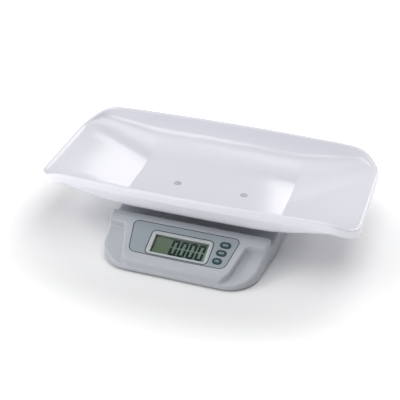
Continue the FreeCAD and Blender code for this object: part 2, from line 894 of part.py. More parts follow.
front_screw_y = base_front_y + front_screw_reach
side_screw_y = base_front_y + side_screw_reach
housing_screw_places = both_sides([(side_x(front_screw_y) - front_screw_inset, front_screw_y),
                                   (side_x(side_screw_y) - side_screw_inset, side_screw_y),
                                   (-bay_inner_x - boss_radius - back_screw_room,
                                    base_back_y - back_screw_inset)])
foot_places = both_sides([(console_front_width / 2 - front_foot_inset, base_front_y + front_foot_inset),
                          (base_width / 2 - back_foot_side_inset, base_back_y - back_foot_inset)])
board_screw_places = [(u, v) for u in (board_left + board_screw_inset, board_right - board_screw_inset)
                      for v in (board_top - board_screw_inset, board_bottom + board_screw_inset)]
housing_boss_z = base_inner_z + housing_boss_height
housing_screw_tip_z = housing_boss_z + housing_screw_bite


def bay_box(grow):
    """Inside of the battery bay seen from above, as x0, x1, y0, y1."""
    half_x = (battery_can + battery_nub) / 2 + bay_end_room + grow
    back = base_back_y - housing_wall - bay_back_room + grow
    front = back - 2 * grow - battery_count * battery_pitch
    return bay_centre_x - half_x, bay_centre_x + half_x, front, back


def door_lip_box(grow):
    """Room in the back wall for the door's upturned lip."""
    x0, x1, front, back = bay_box(door_overlap + door_tongue + grow)
    return box(x0, x1, base_back_y - housing_wall - wall_lean, base_back_y + 5,
               base_bottom_z - grow, base_bottom_z + door_lip_height + grow)


def make_housing_top():
    """Top housing: deck, console, side walls, screw bosses and the openings for keys, display and posts."""
    outer = outer_body()
    shell = outer.cut(inner_body())
    shell = shell.cut(box(-base_width, base_width, base_front_y - 5, base_back_y + 5, -5, base_bottom_z))
    for x, y in housing_screw_places:
        shell = shell.fuse(disc(boss_radius, x, y, housing_boss_z, ledge_z).common(outer))
    for u, v in board_screw_places:
        shell = shell.fuse(on_panel(disc(board_post_radius, u, v, -board_drop, -panel_wall / 2)))
    for x, y in housing_screw_places:
        shell = shell.cut(disc(m3_radius - self_tap_bite, x, y, base_bottom_z, housing_screw_tip_z + 2))
    for u, v in board_screw_places:
        shell = shell.cut(on_panel(disc(m3_radius - 2 * self_tap_bite, u, v, -board_drop - 1, -panel_wall)))
    for x, y in tray_screw_places():
        shell = shell.cut(disc(post_radius + post_hole_gap, x, y, bridge_top_z, deck_z + 5))
    shell = shell.cut(on_panel(prism(overlay_outline(-fit_gap), -overlay_pocket, 5)))
    shell = shell.cut(on_panel(bezel_block(bezel_skirt_inset - fit_gap, -panel_wall - 5, 5)))
    for centre, width in zip(key_centres, key_widths):
        shell = shell.cut(on_panel(key_hole(centre, width)))
    shell = shell.cut(door_lip_box(slide_gap))
    export("housing_top", [shell.removeSplitter()])
    return outer


def key_hole(centre, width):
    """Through hole for one key, a little larger than the key all round."""
    u, v = centre
    return rounded_block(width + 2 * key_gap, key_height + 2 * key_gap, key_height / 2 + key_gap - 0.01,
                         u, v, -panel_wall - 5, 5)


def make_housing_bottom():
    """Bottom plate with screw bosses, foot recesses and the battery bay's walls and roof."""
    corners, radii = base_outline()
    inset = housing_wall + plate_edge_gap
    plate = prism(rounded_outline(corners, radii, inset), base_bottom_z, base_inner_z)
    x0, x1, front, back = bay_box(bay_wall)
    bay_top = base_inner_z + 2 * battery_radius + bay_roof_gap
    bay = box(x0, x1, front, back, base_inner_z - housing_wall / 4, bay_top + bay_wall)
    flange = box(x0 - rail_reach, x1 + rail_reach, front - rail_reach, back, base_inner_z,
                 base_inner_z + rail_roof)
    plate = plate.fuse([bay, flange])
    for x, y in housing_screw_places:
        plate = plate.fuse(disc(boss_radius, x, y, base_inner_z, housing_boss_z))
    x0, x1, front, back = bay_box(0)
    plate = plate.cut(box(x0, x1, front, back, base_bottom_z - 1, bay_top))
    side = door_overlap
    rail = side + door_tongue + slide_gap
    plate = plate.cut(box(x0 - side, x1 + side, front - side, base_back_y, base_bottom_z - 1, base_inner_z))
    plate = plate.cut(box(x0 - rail, x1 + rail, front - side, base_back_y, tongue_low_z - slide_gap * 0.6,
                          tongue_high_z + slide_gap * 0.6))
    for x, y in housing_screw_places:
        plate = plate.cut(disc(m3_radius + fit_gap, x, y, base_bottom_z - 1, housing_boss_z + 1))
        plate = plate.cut(disc(m3_head_radius + 2 * fit_gap, x, y, base_bottom_z - 1,
                               base_inner_z - screw_head_drop))
    for x, y in foot_places:
        plate = plate.cut(disc(foot_radius + fit_gap, x, y, base_bottom_z - 1, base_bottom_z + foot_recess))
    for x, y in plate_screw_places():
        plate = plate.cut(disc(m3_radius + fit_gap / 3, x, y, base_bottom_z + blind_floor - fit_gap,
                               base_inner_z + 1))
    export("housing_bottom", [plate.removeSplitter()])


def make_housing_screws():
    """Screws from below that hold the two housing halves together."""
    screws = []
    seat = base_inner_z - screw_head_drop
    for x, y in housing_screw_places:
        head = disc(m3_head_radius, x, y, seat - m3_head_height, seat)
        shank = disc(m3_radius - self_tap_bite - fit_gap / 3, x, y, seat, housing_screw_tip_z)
        screws.append(head.fuse(shank).removeSplitter())
    export("housing_screws", screws)


def make_feet():
    """Rubber feet set into the bottom plate."""
    feet = []
    top = base_bottom_z + foot_recess
    for x, y in foot_places:
        points = [(0, 0), (foot_radius - foot_edge, 0), (foot_radius, foot_edge), (foot_radius, top), (0, top)]
        feet.append(turned(points, x, y))
    export("rubber_feet", feet)


# ======== battery bay ========

def make_battery_door(outer):
    """Door that slides out backwards, with tongues in the bottom plate and a lip in the back wall."""
    x0, x1, front, back = bay_box(0)
    side = door_overlap - slide_gap
    low = base_bottom_z
    high = base_bottom_z + door_thickness
    lip = outer.cut(inner_body()).common(door_lip_box(0))
    wall_y = base_back_y - housing_wall
    panel = box(x0 - side, x1 + side, front - side, wall_y - plate_edge_gap - slide_gap, low, high)
    neck = box(x0, x1, wall_y - plate_edge_gap - slide_gap, base_back_y - housing_wall / 2, low, high)
    tongues = box(x0 - side - door_tongue, x1 + side + door_tongue, front - side,
                  front + door_tongue_length, tongue_low_z, tongue_high_z)
    door = panel.fuse([neck, tongues, lip])
    grip = grip_width / 2
    for i in range(grip_count):
        z = base_bottom_z + grip_pitch * (i + 2)
        door = door.cut(box(bay_centre_x - grip, bay_centre_x + grip, base_back_y - grip_depth,
                            base_back_y + 1, z, z + grip_groove))
    export("battery_door", [door.removeSplitter()])


def make_batteries():
    """Four round cells side by side."""
    cells = []
    x0, x1, front, back = bay_box(0)
    axis_z = base_inner_z + battery_radius + battery_lift
    start = bay_centre_x - (battery_can + battery_nub) / 2
    for i in range(battery_count):
        y = front + battery_pitch * (i + 0.5)
        can = Part.makeCylinder(battery_radius, battery_can, Vec(start, y, axis_z), Vec(1, 0, 0))
        tip = Vec(start + battery_can, y, axis_z)
        nub = Part.makeCylinder(battery_nub_radius, battery_nub, tip, Vec(1, 0, 0))
        cells.append(can.fuse(nub).removeSplitter())
    export("batteries", cells)


def make_battery_contacts():
    """Sprung contact plates at both ends of each cell."""
    contacts = []
    x0, x1, front, back = bay_box(0)
    axis_z = base_inner_z + battery_radius + battery_lift
    for i in range(battery_count):
        y = front + battery_pitch * (i + 0.5)
        for x, way in ((x0, 1), (x1, -1)):
            x_in = x + way * contact_thickness
            plate = box(min(x, x_in), max(x, x_in), y - contact_half, y + contact_half,
                        axis_z - contact_half, axis_z + contact_half)
            cone = Part.makeCone(spring_foot_radius, spring_tip_radius, bay_end_room, Vec(x, y, axis_z),
                                 Vec(way, 0, 0))
            contacts.append(plate.fuse(cone).removeSplitter())
    export("battery_contacts", contacts)


# ======== display, keys and board ========

def overlay_outline(inset):
    """Outline of the printed overlay: wider at the top, with a slightly bowed lower edge."""
    top = overlay_top_width / 2
    bottom = overlay_bottom_width / 2
    high = overlay_height / 2
    corners = [(-bottom, -high), (0, -high - overlay_bottom_bow), (bottom, -high), (top, high), (-top, high)]
    radii = [overlay_bottom_radius, overlay_bow_radius, overlay_bottom_radius, overlay_top_radius,
             overlay_top_radius]
    return rounded_outline(corners, radii, inset)


def bezel_block(inset, low, high):
    """Block of the bezel's outline, set in all round."""
    return rounded_block(bezel_width - 2 * inset, bezel_height - 2 * inset, bezel_corner_radius - inset,
                         bezel_centre_u, bezel_centre_v, low, high)


def window_block(grow, low, high):
    """Block of the window's outline, let out all round."""
    return rounded_block(window_width + 2 * grow, window_height + 2 * grow, window_corner_radius,
                         window_centre_u, window_centre_v, low, high)


def make_overlay():
    """Printed overlay in its pocket, with a hole for the bezel and one for each key."""
    low = -overlay_pocket
    sheet = prism(overlay_outline(0), low, low + overlay_thickness)
    sheet = sheet.cut(bezel_block(-fit_gap, -5, 5))
    for centre, width in zip(key_centres, key_widths):
        sheet = sheet.cut(key_hole(centre, width))
    export("display_overlay", [on_panel(sheet)])


def make_bezel():
    """Light frame round the display, rebated from below for the window."""
    low = -overlay_pocket
    flange = bezel_block(0, low, low + bezel_lip)
    skirt = bezel_block(bezel_skirt_inset, -panel_wall - 2 * fit_gap, low)
    frame = flange.fuse(skirt)
    frame = frame.cut(window_block(window_rebate, -panel_wall - 1, -window_drop))
    frame = frame.cut(window_block(0, -panel_wall - 1, 5))
    export("lcd_bezel", [on_panel(frame.removeSplitter())])


def make_window():
    """Clear window behind the bezel's inner edge."""
    pane = window_block(window_rebate - fit_gap, -window_drop - window_thickness, -window_drop)
    export("display_window", [on_panel(pane)])


def make_lcd():
    """Liquid crystal glass, the reflector behind it, its holder and the contact strips to the board."""
    half_width = window_width / 2 + lcd_margin
    half_height = window_height / 2 + lcd_margin
    low = -lcd_drop - lcd_thickness
    export("lcd_glass", [on_panel(window_block(lcd_margin, low, -lcd_drop))])
    reflector = window_block(0, low - reflector_thickness, low)
    export("lcd_reflector", [on_panel(reflector)])
    strips = []
    for side in (-1, 1):
        middle = window_centre_v + side * (half_height - contact_strip_width / 2)
        strips.append(on_panel(box(window_centre_u - half_width + contact_strip_width,
                                   window_centre_u + half_width - contact_strip_width,
                                   middle - contact_strip_width / 2, middle + contact_strip_width / 2,
                                   -board_drop, low)))
    export("contact_strips", strips)
    ring = window_block(lcd_margin + holder_rim, -board_drop, -panel_wall - 3 * fit_gap)
    ring = ring.cut(window_block(lcd_margin + fit_gap, -board_drop - 1, -lcd_drop))
    ring = ring.cut(window_block(0, -board_drop - 1, 5))
    export("lcd_holder", [on_panel(ring)])


def make_board():
    """Circuit board behind the display, with its screws, chips, sockets and key switches."""
    low = -board_drop - board_thickness
    board = prism(rounded_outline([(board_left, board_bottom), (board_right, board_bottom),
                                   (board_right, board_top), (board_left, board_top)], [2] * 4),
                  low, -board_drop)
    for u, v in board_screw_places:
        board = board.cut(disc(m3_radius + fit_gap, u, v, low - 1, -board_drop + 1))
    export("main_board", [on_panel(board)])
    screws = []
    for u, v in board_screw_places:
        head = disc(m3_head_radius, u, v, low - m3_head_height, low)
        shank = disc(m3_radius - 2 * self_tap_bite - fit_gap / 3, u, v, low, -panel_wall - 1)
        screws.append(on_panel(head.fuse(shank).removeSplitter()))
    export("board_screws", screws)
    chips = []
    for u, v, width, height, thickness in chip_layout:
        chips.append(on_panel(box(u - width / 2, u + width / 2, v - height / 2, v + height / 2,
                                  low - thickness, low)))
    export("board_chips", chips)
    sockets = []
    socket_v = board_top - socket_edge_gap
    for u in (cell_socket_u, lead_socket_u):
        sockets.append(on_panel(box(u - socket_width / 2, u + socket_width / 2, socket_v - socket_depth,
                                    socket_v, low - socket_height, low)))
    export("cable_sockets", sockets)
    switches = []
    for u, v in key_centres:
        half = switch_size / 2
        body = box(u - half, u + half, v - half, v + half, -board_drop, -board_drop + switch_height)
        body = body.cut(disc(plunger_radius + plunger_gap, u, v, -board_drop + switch_floor, 5))
        switches.append(on_panel(body))
    export("key_switches", switches)


def make_keys():
    """Three keys, each a cap with a stem, and the switch plunger that it presses."""
    switch_top = -board_drop + switch_height
    plunger_top = switch_top + plunger_rise
    for name, centre, width in zip(key_names, key_centres, key_widths):
        u, v = centre
        top = key_stand
        low = top - key_thickness
        cap = rounded_block(width, key_height, key_height / 2 - 0.01, u, v, low, top)
        rim = [edge for edge in cap.Edges if edge.BoundBox.ZMin > top - 0.01]
        cap = cap.makeFillet(key_edge_radius, rim)
        stem = disc(key_stem_radius, u, v, plunger_top, low)
        export("button_" + name, [on_panel(cap.fuse(stem).removeSplitter())])
        plunger_low = -board_drop + switch_floor + key_travel + plunger_gap
        plunger = disc(plunger_radius, u, v, plunger_low, plunger_top)
        export("switch_plunger_" + name, [on_panel(plunger)])


# ======== cables inside ========

def panel_point(u, v, w):
    """Place by the panel's own two directions and the height above it."""
    slope = math.radians(panel_slope_deg)
    y = panel_y + v * math.cos(slope) - w * math.sin(slope)
    z = panel_z + v * math.sin(slope) + w * math.cos(slope)
    return Vec(u, y, z)


def socket_run(u, low_z):
    """First points of a cable: out of its socket, then down under the console's back wall."""
    w = -board_drop - board_thickness - socket_height / 2
    start = panel_point(u, board_top - socket_edge_gap, w)
    out = panel_point(u, board_top - socket_edge_gap + cable_exit, w)
    return [start, out, Vec(u, console_back_y + cable_exit, low_z + 2 * cable_radius)]


def make_cables():
    """Load cell cable and battery leads, from the sockets on the board."""
    cell_z = (cell_bottom_z + cell_top_z) / 2
    run = socket_run(cell_socket_u, cell_z)
    run.append(Vec(cell_socket_u, tray_y - cable_turn_reach, cell_z))
    run.append(Vec(cell_socket_u, tray_y - cell_width / 2, cell_z))
    export("load_cell_cable", [cable(run, cable_bend)])
    x0, x1, front, back = bay_box(bay_wall)
    lead_z = base_inner_z + battery_radius
    lead_x = x1 - lead_inset
    run = socket_run(lead_socket_u, lead_z)
    run.append(Vec(lead_socket_u, tray_y - cable_turn_reach, lead_z))
    run.append(Vec(lead_x, front - lead_inset, lead_z))
    run.append(Vec(lead_x, front, lead_z))
    export("battery_leads", [cable(run, cable_bend)])


def build():
    """Make every piece and write one file for each."""
    os.makedirs("parts", exist_ok=True)
    make_tray()
    make_tray_screws()
    make_screw_caps()
    make_tray_platform()
    make_platform_pads()
    make_stop_screws()
    make_load_bridge()
    make_cell_screws()
    make_load_cell()
    make_strain_gauges()
    make_spacers()
    make_cell_plate()
    outer = make_housing_top()
    make_housing_bottom()
    make_housing_screws()
    make_feet()
    make_battery_door(outer)
    make_batteries()
    make_battery_contacts()
    make_overlay()
    make_bezel()
    make_window()
    make_lcd()
    make_board()
    make_keys()
    make_cables()


build()
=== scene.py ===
import bpy
import bmesh
import math
from mathutils import Matrix, Vector


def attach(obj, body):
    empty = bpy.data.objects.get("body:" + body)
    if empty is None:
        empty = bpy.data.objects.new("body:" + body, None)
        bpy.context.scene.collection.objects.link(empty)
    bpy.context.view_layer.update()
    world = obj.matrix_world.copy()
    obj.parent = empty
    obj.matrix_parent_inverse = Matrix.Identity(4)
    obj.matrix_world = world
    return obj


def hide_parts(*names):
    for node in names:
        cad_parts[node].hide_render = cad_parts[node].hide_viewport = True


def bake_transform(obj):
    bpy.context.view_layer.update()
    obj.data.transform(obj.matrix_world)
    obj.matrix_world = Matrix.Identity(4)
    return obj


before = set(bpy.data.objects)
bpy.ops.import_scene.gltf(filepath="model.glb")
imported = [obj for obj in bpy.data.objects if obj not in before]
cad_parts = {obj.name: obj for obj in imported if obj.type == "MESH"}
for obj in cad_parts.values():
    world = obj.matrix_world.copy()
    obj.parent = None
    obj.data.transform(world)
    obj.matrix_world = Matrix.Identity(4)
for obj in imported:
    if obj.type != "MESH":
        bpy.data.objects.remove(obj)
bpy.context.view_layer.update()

# ======== Table, light and camera ========
# A pale table top under soft boxes, seen through a long lens from the front right.
# None of it belongs to the scale.

scene = bpy.context.scene
scene.view_settings.view_transform = "Standard"
MM = 0.001

camera_turn = math.radians(18.09)
camera_rise = math.radians(33.44)
camera_roll = math.radians(0.38)
camera_place = Vector((422.8, -1318.3, 964.3)) * MM
back = Vector((math.sin(camera_turn) * math.cos(camera_rise),
               -math.cos(camera_turn) * math.cos(camera_rise), math.sin(camera_rise)))
level = Vector((math.cos(camera_turn), math.sin(camera_turn), 0))
upright = back.cross(level)
right = level * math.cos(camera_roll) + upright * math.sin(camera_roll)
upward = upright * math.cos(camera_roll) - level * math.sin(camera_roll)
lens = bpy.data.cameras.new("camera")
lens.lens = 87.67
lens.sensor_width = 36
lens.clip_start = 0.05
camera = bpy.data.objects.new("camera", lens)
camera.matrix_world = Matrix((
    (right.x, upward.x, back.x, camera_place.x),
    (right.y, upward.y, back.y, camera_place.y),
    (right.z, upward.z, back.z, camera_place.z),
    (0, 0, 0, 1)))
scene.collection.objects.link(camera)
scene.camera = camera

light_aim = Vector((0, 0, 0.05))


def soft_box(name, place, width, height, power):
    """Rectangular light of a size in metres, turned to the middle of the scale."""
    light = bpy.data.lights.new(name, "AREA")
    light.shape = "RECTANGLE"
    light.size = width
    light.size_y = height
    light.energy = power
    lamp = bpy.data.objects.new(name, light)
    lamp.location = place
    lamp.rotation_euler = (light_aim - Vector(place)).to_track_quat("-Z", "Y").to_euler()
    scene.collection.objects.link(lamp)


soft_box("key_box", (-1.31, -1.56, 0.85), 2.0, 0.8, 18.0)
soft_box("left_box", (-1.60, -0.42, 1.52), 1.4, 0.9, 12.0)
soft_box("back_low_box", (0.72, 1.98, 0.69), 2.0, 0.45, 10.0)
soft_box("back_box", (0.26, 1.85, 1.37), 1.22, 0.68, 11.0)
soft_box("right_box", (2.04, -0.54, 0.66), 1.6, 0.6, 1.5)
soft_box("top_box", (0.4, -0.10, 1.95), 2.4, 1.8, 22.5)

world = bpy.data.worlds.new("room")
world.use_nodes = True
scene.world = world
sky = world.node_tree.nodes["Background"]
sky.inputs["Color"].default_value = (0.93, 0.95, 1.0, 1)
sky.inputs["Strength"].default_value = 0.11


def new_material(name, rough, metallic=0.0):
    """Material with nodes, and its shader."""
    material = bpy.data.materials.new(name)
    material.use_nodes = True
    shader = material.node_tree.nodes["Principled BSDF"]
    shader.inputs["Roughness"].default_value = rough
    shader.inputs["Metallic"].default_value = metallic
    return material, shader


def tone_mix(nodes, tone, other_tone):
    """Node that passes between two tones; gives its share socket and its tone socket."""
    mix = nodes.new("ShaderNodeMix")
    mix.data_type = "RGBA"
    mix.inputs[6].default_value = (*tone, 1)
    mix.inputs[7].default_value = (*other_tone, 1)
    return mix.inputs[0], mix.outputs[2]


def mesh_piece(name, points, faces, finishes, indexes=None, smooth=True):
    """Object from points and faces; the indexes say which finish each face has."""
    mesh = bpy.data.meshes.new(name)
    mesh.from_pydata([tuple(p) for p in points], [], faces)
    for finish in finishes:
        mesh.materials.append(finish)
    if indexes:
        mesh.polygons.foreach_set("material_index", indexes)
    mesh.polygons.foreach_set("use_smooth", [smooth] * len(mesh.polygons))
    piece = bpy.data.objects.new(name, mesh)
    scene.collection.objects.link(piece)
    return piece


# The table glows softly away from the scale, so that its far parts are white.
floor_rough = 0.9
floor_cloud_scale = 3.0
floor_light = (0.88, 0.88, 0.88)
floor_lighter = (0.91, 0.91, 0.91)
glow_centre = (0, 0.03, 0)
glow_stretch = (0.85, 1.1, 1.0)
glow_start = 0.20
glow_full = 0.50
glow_strength = 0.75
floor_finish, floor_shader = new_material("pale_table", floor_rough)
floor_nodes = floor_finish.node_tree.nodes
floor_links = floor_finish.node_tree.links
floor_where = floor_nodes.new("ShaderNodeTexCoord")
floor_noise = floor_nodes.new("ShaderNodeTexNoise")
floor_noise.inputs["Scale"].default_value = floor_cloud_scale
floor_share, floor_tone = tone_mix(floor_nodes, floor_light, floor_lighter)
floor_links.new(floor_where.outputs["Object"], floor_noise.inputs["Vector"])
floor_links.new(floor_noise.outputs["Fac"], floor_share)
floor_links.new(floor_tone, floor_shader.inputs["Base Color"])
floor_middle = floor_nodes.new("ShaderNodeMapping")
floor_middle.inputs["Location"].default_value = glow_centre
floor_middle.inputs["Scale"].default_value = glow_stretch
floor_reach = floor_nodes.new("ShaderNodeVectorMath")
floor_reach.operation = "LENGTH"
floor_glow = floor_nodes.new("ShaderNodeMapRange")
floor_glow.interpolation_type = "SMOOTHSTEP"
floor_glow.inputs["From Min"].default_value = glow_start
floor_glow.inputs["From Max"].default_value = glow_full
floor_links.new(floor_where.outputs["Object"], floor_middle.inputs["Vector"])
floor_links.new(floor_middle.outputs["Vector"], floor_reach.inputs[0])
floor_links.new(floor_reach.outputs["Value"], floor_glow.inputs["Value"])
floor_links.new(floor_glow.outputs["Result"], floor_shader.inputs["Emission Color"])
floor_shader.inputs["Emission Strength"].default_value = glow_strength
table_half = 6.0
table_corners = [(x * table_half, y * table_half, 0)
                 for x, y in ((-1, -1), (1, -1), (1, 1), (-1, 1))]
table = mesh_piece("table_top", table_corners, [(0, 1, 2, 3)], [floor_finish])

# ======== Rubber feet ========
# Four soft rubber feet, pressed into round recesses of the bottom plate. Their undersides
# are ringed so that they grip the table.


def surface_grain():
    """Soft clouds and fine grain, for every moulded, cast or rolled surface."""
    tree = bpy.data.node_groups.new("surface_grain", "ShaderNodeTree")
    for name, kind in (("Place", "NodeSocketVector"), ("Cloud Scale", "NodeSocketFloat"),
                       ("Grain Scale", "NodeSocketFloat")):
        tree.interface.new_socket(name=name, in_out="INPUT", socket_type=kind)
    for name in ("Cloud", "Grain"):
        tree.interface.new_socket(name=name, in_out="OUTPUT", socket_type="NodeSocketFloat")
    source = tree.nodes.new("NodeGroupInput")
    result = tree.nodes.new("NodeGroupOutput")
    for output, scale, detail in (("Cloud", "Cloud Scale", 2.0), ("Grain", "Grain Scale", 3.0)):
        noise = tree.nodes.new("ShaderNodeTexNoise")
        noise.inputs["Detail"].default_value = detail
        tree.links.new(source.outputs["Place"], noise.inputs["Vector"])
        tree.links.new(source.outputs[scale], noise.inputs["Scale"])
        tree.links.new(noise.outputs["Fac"], result.inputs[output])
    return tree


grain_tree = surface_grain()
relief_strength = 0.6


def grained(name, tone, other_tone, rough, rough_swing, grain_scale, depth, cloud_scale=14.0,
            metallic=0.0, stretch=(1, 1, 1)):
    """Material whose tone, gloss and relief vary over the surface."""
    material, shader = new_material(name, rough, metallic)
    nodes = material.node_tree.nodes
    links = material.node_tree.links
    where = nodes.new("ShaderNodeTexCoord")
    mapping = nodes.new("ShaderNodeMapping")
    mapping.inputs["Scale"].default_value = stretch
    grain = nodes.new("ShaderNodeGroup")
    grain.node_tree = grain_tree
    grain.inputs["Cloud Scale"].default_value = cloud_scale
    grain.inputs["Grain Scale"].default_value = grain_scale
    links.new(where.outputs["Object"], mapping.inputs["Vector"])
    links.new(mapping.outputs["Vector"], grain.inputs["Place"])
    share, mixed = tone_mix(nodes, tone, other_tone)
    links.new(grain.outputs["Cloud"], share)
    links.new(mixed, shader.inputs["Base Color"])
    gloss = nodes.new("ShaderNodeMapRange")
    gloss.inputs["To Min"].default_value = rough - rough_swing
    gloss.inputs["To Max"].default_value = rough + rough_swing
    links.new(grain.outputs["Grain"], gloss.inputs["Value"])
    links.new(gloss.outputs["Result"], shader.inputs["Roughness"])
    relief = nodes.new("ShaderNodeBump")
    relief.inputs["Distance"].default_value = depth
    relief.inputs["Strength"].default_value = relief_strength
    links.new(grain.outputs["Grain"], relief.inputs["Height"])
    links.new(relief.outputs["Normal"], shader.inputs["Normal"])
    return material


def dress(node, material):
    """Give a carried-over piece its finish."""
    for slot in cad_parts[node].material_slots:
        slot.material = material


def turned_form(name, profile, sides=48):
    """Turned shape from radius and height pairs, closed on its axis at both ends."""
    points = [(0, 0, profile[0][1])]
    for radius, height in profile[1:-1]:
        for k in range(sides):
            angle = 2 * math.pi * k / sides
            points.append((radius * math.cos(angle), radius * math.sin(angle), height))
    points.append((0, 0, profile[-1][1]))
    last = len(points) - 1
    rings = len(profile) - 2
    faces = []
    for k in range(sides):
        turn = (k + 1) % sides
        faces.append((0, 1 + turn, 1 + k))
        for ring in range(rings - 1):
            low = 1 + ring * sides
            faces.append((low + k, low + turn, low + sides + turn, low + sides + k))
        low = 1 + (rings - 1) * sides
        faces.append((low + k, low + turn, last))
    return mesh_piece(name, points, faces, [])


def set_out_tree():
    """Copies of one form, set out on points, sized and turned."""
    tree = bpy.data.node_groups.new("set_out", "GeometryNodeTree")
    for name, kind in (("Places", "NodeSocketGeometry"), ("Form", "NodeSocketObject"),
                       ("Width", "NodeSocketFloat"), ("Height", "NodeSocketFloat"),
                       ("Tilt", "NodeSocketFloat"), ("Finish", "NodeSocketMaterial")):
        tree.interface.new_socket(name=name, in_out="INPUT", socket_type=kind)
    tree.interface.new_socket(name="Copies", in_out="OUTPUT", socket_type="NodeSocketGeometry")
    source = tree.nodes.new("NodeGroupInput")
    result = tree.nodes.new("NodeGroupOutput")
    form = tree.nodes.new("GeometryNodeObjectInfo")
    size = tree.nodes.new("ShaderNodeCombineXYZ")
    lean = tree.nodes.new("ShaderNodeCombineXYZ")
    turn = tree.nodes.new("FunctionNodeEulerToRotation")
    copies = tree.nodes.new("GeometryNodeInstanceOnPoints")
    real = tree.nodes.new("GeometryNodeRealizeInstances")
    coat = tree.nodes.new("GeometryNodeSetMaterial")
    for giver, output, taker, socket in (
            (source, "Form", form, "Object"), (source, "Width", size, "X"),
            (source, "Width", size, "Y"), (source, "Height", size, "Z"),
            (source, "Tilt", lean, "X"), (lean, "Vector", turn, "Euler"),
            (source, "Places", copies, "Points"), (form, "Geometry", copies, "Instance"),
            (turn, "Rotation", copies, "Rotation"), (size, "Vector", copies, "Scale"),
            (copies, "Instances", real, "Geometry"), (real, "Geometry", coat, "Geometry"),
            (source, "Finish", coat, "Material"), (coat, "Geometry", result, "Copies")):
        tree.links.new(giver.outputs[output], taker.inputs[socket])
    return tree


set_out_nodes = set_out_tree()


def set_out(name, form, places, width, height, tilt, material):
    """One plain mesh of all the copies of a form."""
    piece = mesh_piece(name, places, [], [])
    modifier = piece.modifiers.new("set_out", "NODES")
    modifier.node_group = set_out_nodes
    given = {"Form": form, "Width": width, "Height": height, "Tilt": tilt, "Finish": material}
    for socket in set_out_nodes.interface.items_tree:
        if socket.name in given:
            modifier[socket.identifier] = given[socket.name]
    graph = bpy.context.evaluated_depsgraph_get()
    mesh = bpy.data.meshes.new_from_object(piece.evaluated_get(graph))
    piece.modifiers.clear()
    piece.data = mesh
    mesh.name = name
    bpy.data.objects.remove(form)
    return piece


rubber = grained("foot_rubber", (0.030, 0.030, 0.032), (0.045, 0.045, 0.047), 0.72, 0.1, 2600,
                 0.00006)
foot_profile = [(0, 0.24), (0.26, 0.24), (0.31, 0.2), (0.33, 0.05), (0.38, 0.0), (0.56, 0.0),
                (0.60, 0.05), (0.63, 0.05), (0.67, 0.0), (0.85, 0.0), (0.93, 0.03), (0.98, 0.12),
                (1.0, 0.26), (1.0, 0.985), (0.985, 1.0), (0, 1.0)]
foot_form = turned_form("foot_form", foot_profile)
foot_radius = 10.0 * MM
foot_height = 5.0 * MM
foot_spots = ((98.3, -138), (126, 93))
foot_places = [(side * x * MM, y * MM, 0) for x, y in foot_spots for side in (-1, 1)]
feet = set_out("soft_feet", foot_form, foot_places, foot_radius, foot_height, 0.0, rubber)
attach(feet, "base")
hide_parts("rubber_feet")

# ======== Bottom plate and its screws ========
# Injection moulded ABS plate that closes the base. Six screws from below join it to the top
# housing; their heads sit in counterbores.

plate_grey = grained("base_plate_grey", (0.42, 0.435, 0.46), (0.45, 0.465, 0.49), 0.5, 0.08, 2400,
                     0.00005)
dress("housing_bottom", plate_grey)
zinc = grained("zinc_steel", (0.62, 0.63, 0.64), (0.70, 0.70, 0.69), 0.34, 0.1, 2200, 0.00002,
               metallic=1.0)


def skin(mesh, first, second, index=0):
    """Faces between two closed rows of points."""
    for k in range(len(first)):
        turn = (k + 1) % len(first)
        face = mesh.faces.new((first[k], first[turn], second[turn], second[k]))
        face.material_index = index


def finished(mesh, name):
    """Object from a drafted mesh, with its faces turned outwards."""
    bmesh.ops.recalc_face_normals(mesh, faces=mesh.faces)
    data = bpy.data.meshes.new(name)
    mesh.to_mesh(data)
    mesh.free()
    piece = bpy.data.objects.new(name, data)
    scene.collection.objects.link(piece)
    return piece


def cross_screw_form(name, head, head_high, shank, length, sides=32):
    """Screw standing on its head, which has a tapered cross recess in its face."""
    mesh = bmesh.new()

    def ring(radius, height):
        turns = [2 * math.pi * k / sides for k in range(sides)]
        return [mesh.verts.new((radius * math.cos(a), radius * math.sin(a), height)) for a in turns]

    def cross(reach, half, height):
        corner = [(reach, -half), (reach, half), (half, half)]
        spots = []
        for quarter in range(4):
            for x, y in corner:
                for _ in range(quarter):
                    x, y = -y, x
                spots.append(mesh.verts.new((x, y, height)))
        return spots

    face_radius = head * 0.86
    edge_high = head_high * 0.22
    taper_start = length * 0.86
    tip_radius = shank * 0.25
    profile = [(face_radius, 0), (head, edge_high), (head, head_high), (shank, head_high),
               (shank, taper_start), (tip_radius, length)]
    rings = [ring(radius, height) for radius, height in profile]
    for first, second in zip(rings, rings[1:]):
        skin(mesh, first, second)
    mesh.faces.new(rings[-1])
    recess_deep = head_high * 0.75
    mouth = cross(head * 0.62, head * 0.13, 0)
    seat = cross(head * 0.42, head * 0.09, recess_deep)
    skin(mesh, mouth, seat)
    mesh.faces.new(seat)
    edges = [mesh.edges.get((r[k - 1], r[k])) for r in (rings[0], mouth) for k in range(len(r))]
    bmesh.ops.triangle_fill(mesh, edges=edges, use_beauty=True)
    return finished(mesh, name)


screw_head = 2.8
screw_head_high = 1.8
screw_shank = 1.45
screw_length = 11.5
screw_form = cross_screw_form("screw_form", screw_head, screw_head_high, screw_shank, screw_length)
counterbore_top = 4.5 * MM
screw_spots = ((116.2, -108), (131, -20), (40, 108))
screw_places = [(side * x * MM, y * MM, counterbore_top) for x, y in screw_spots
                for side in (-1, 1)]
joining_screws = set_out("joining_screws", screw_form, screw_places, MM, MM, 0.0, zinc)
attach(joining_screws, "base")
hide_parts("housing_screws")

# ======== Batteries, contacts and door ========
# Four round cells lie side by side between sprung nickel contacts. The door slides out
# backwards along two tongues, and ribs on its lip give the thumb a grip.


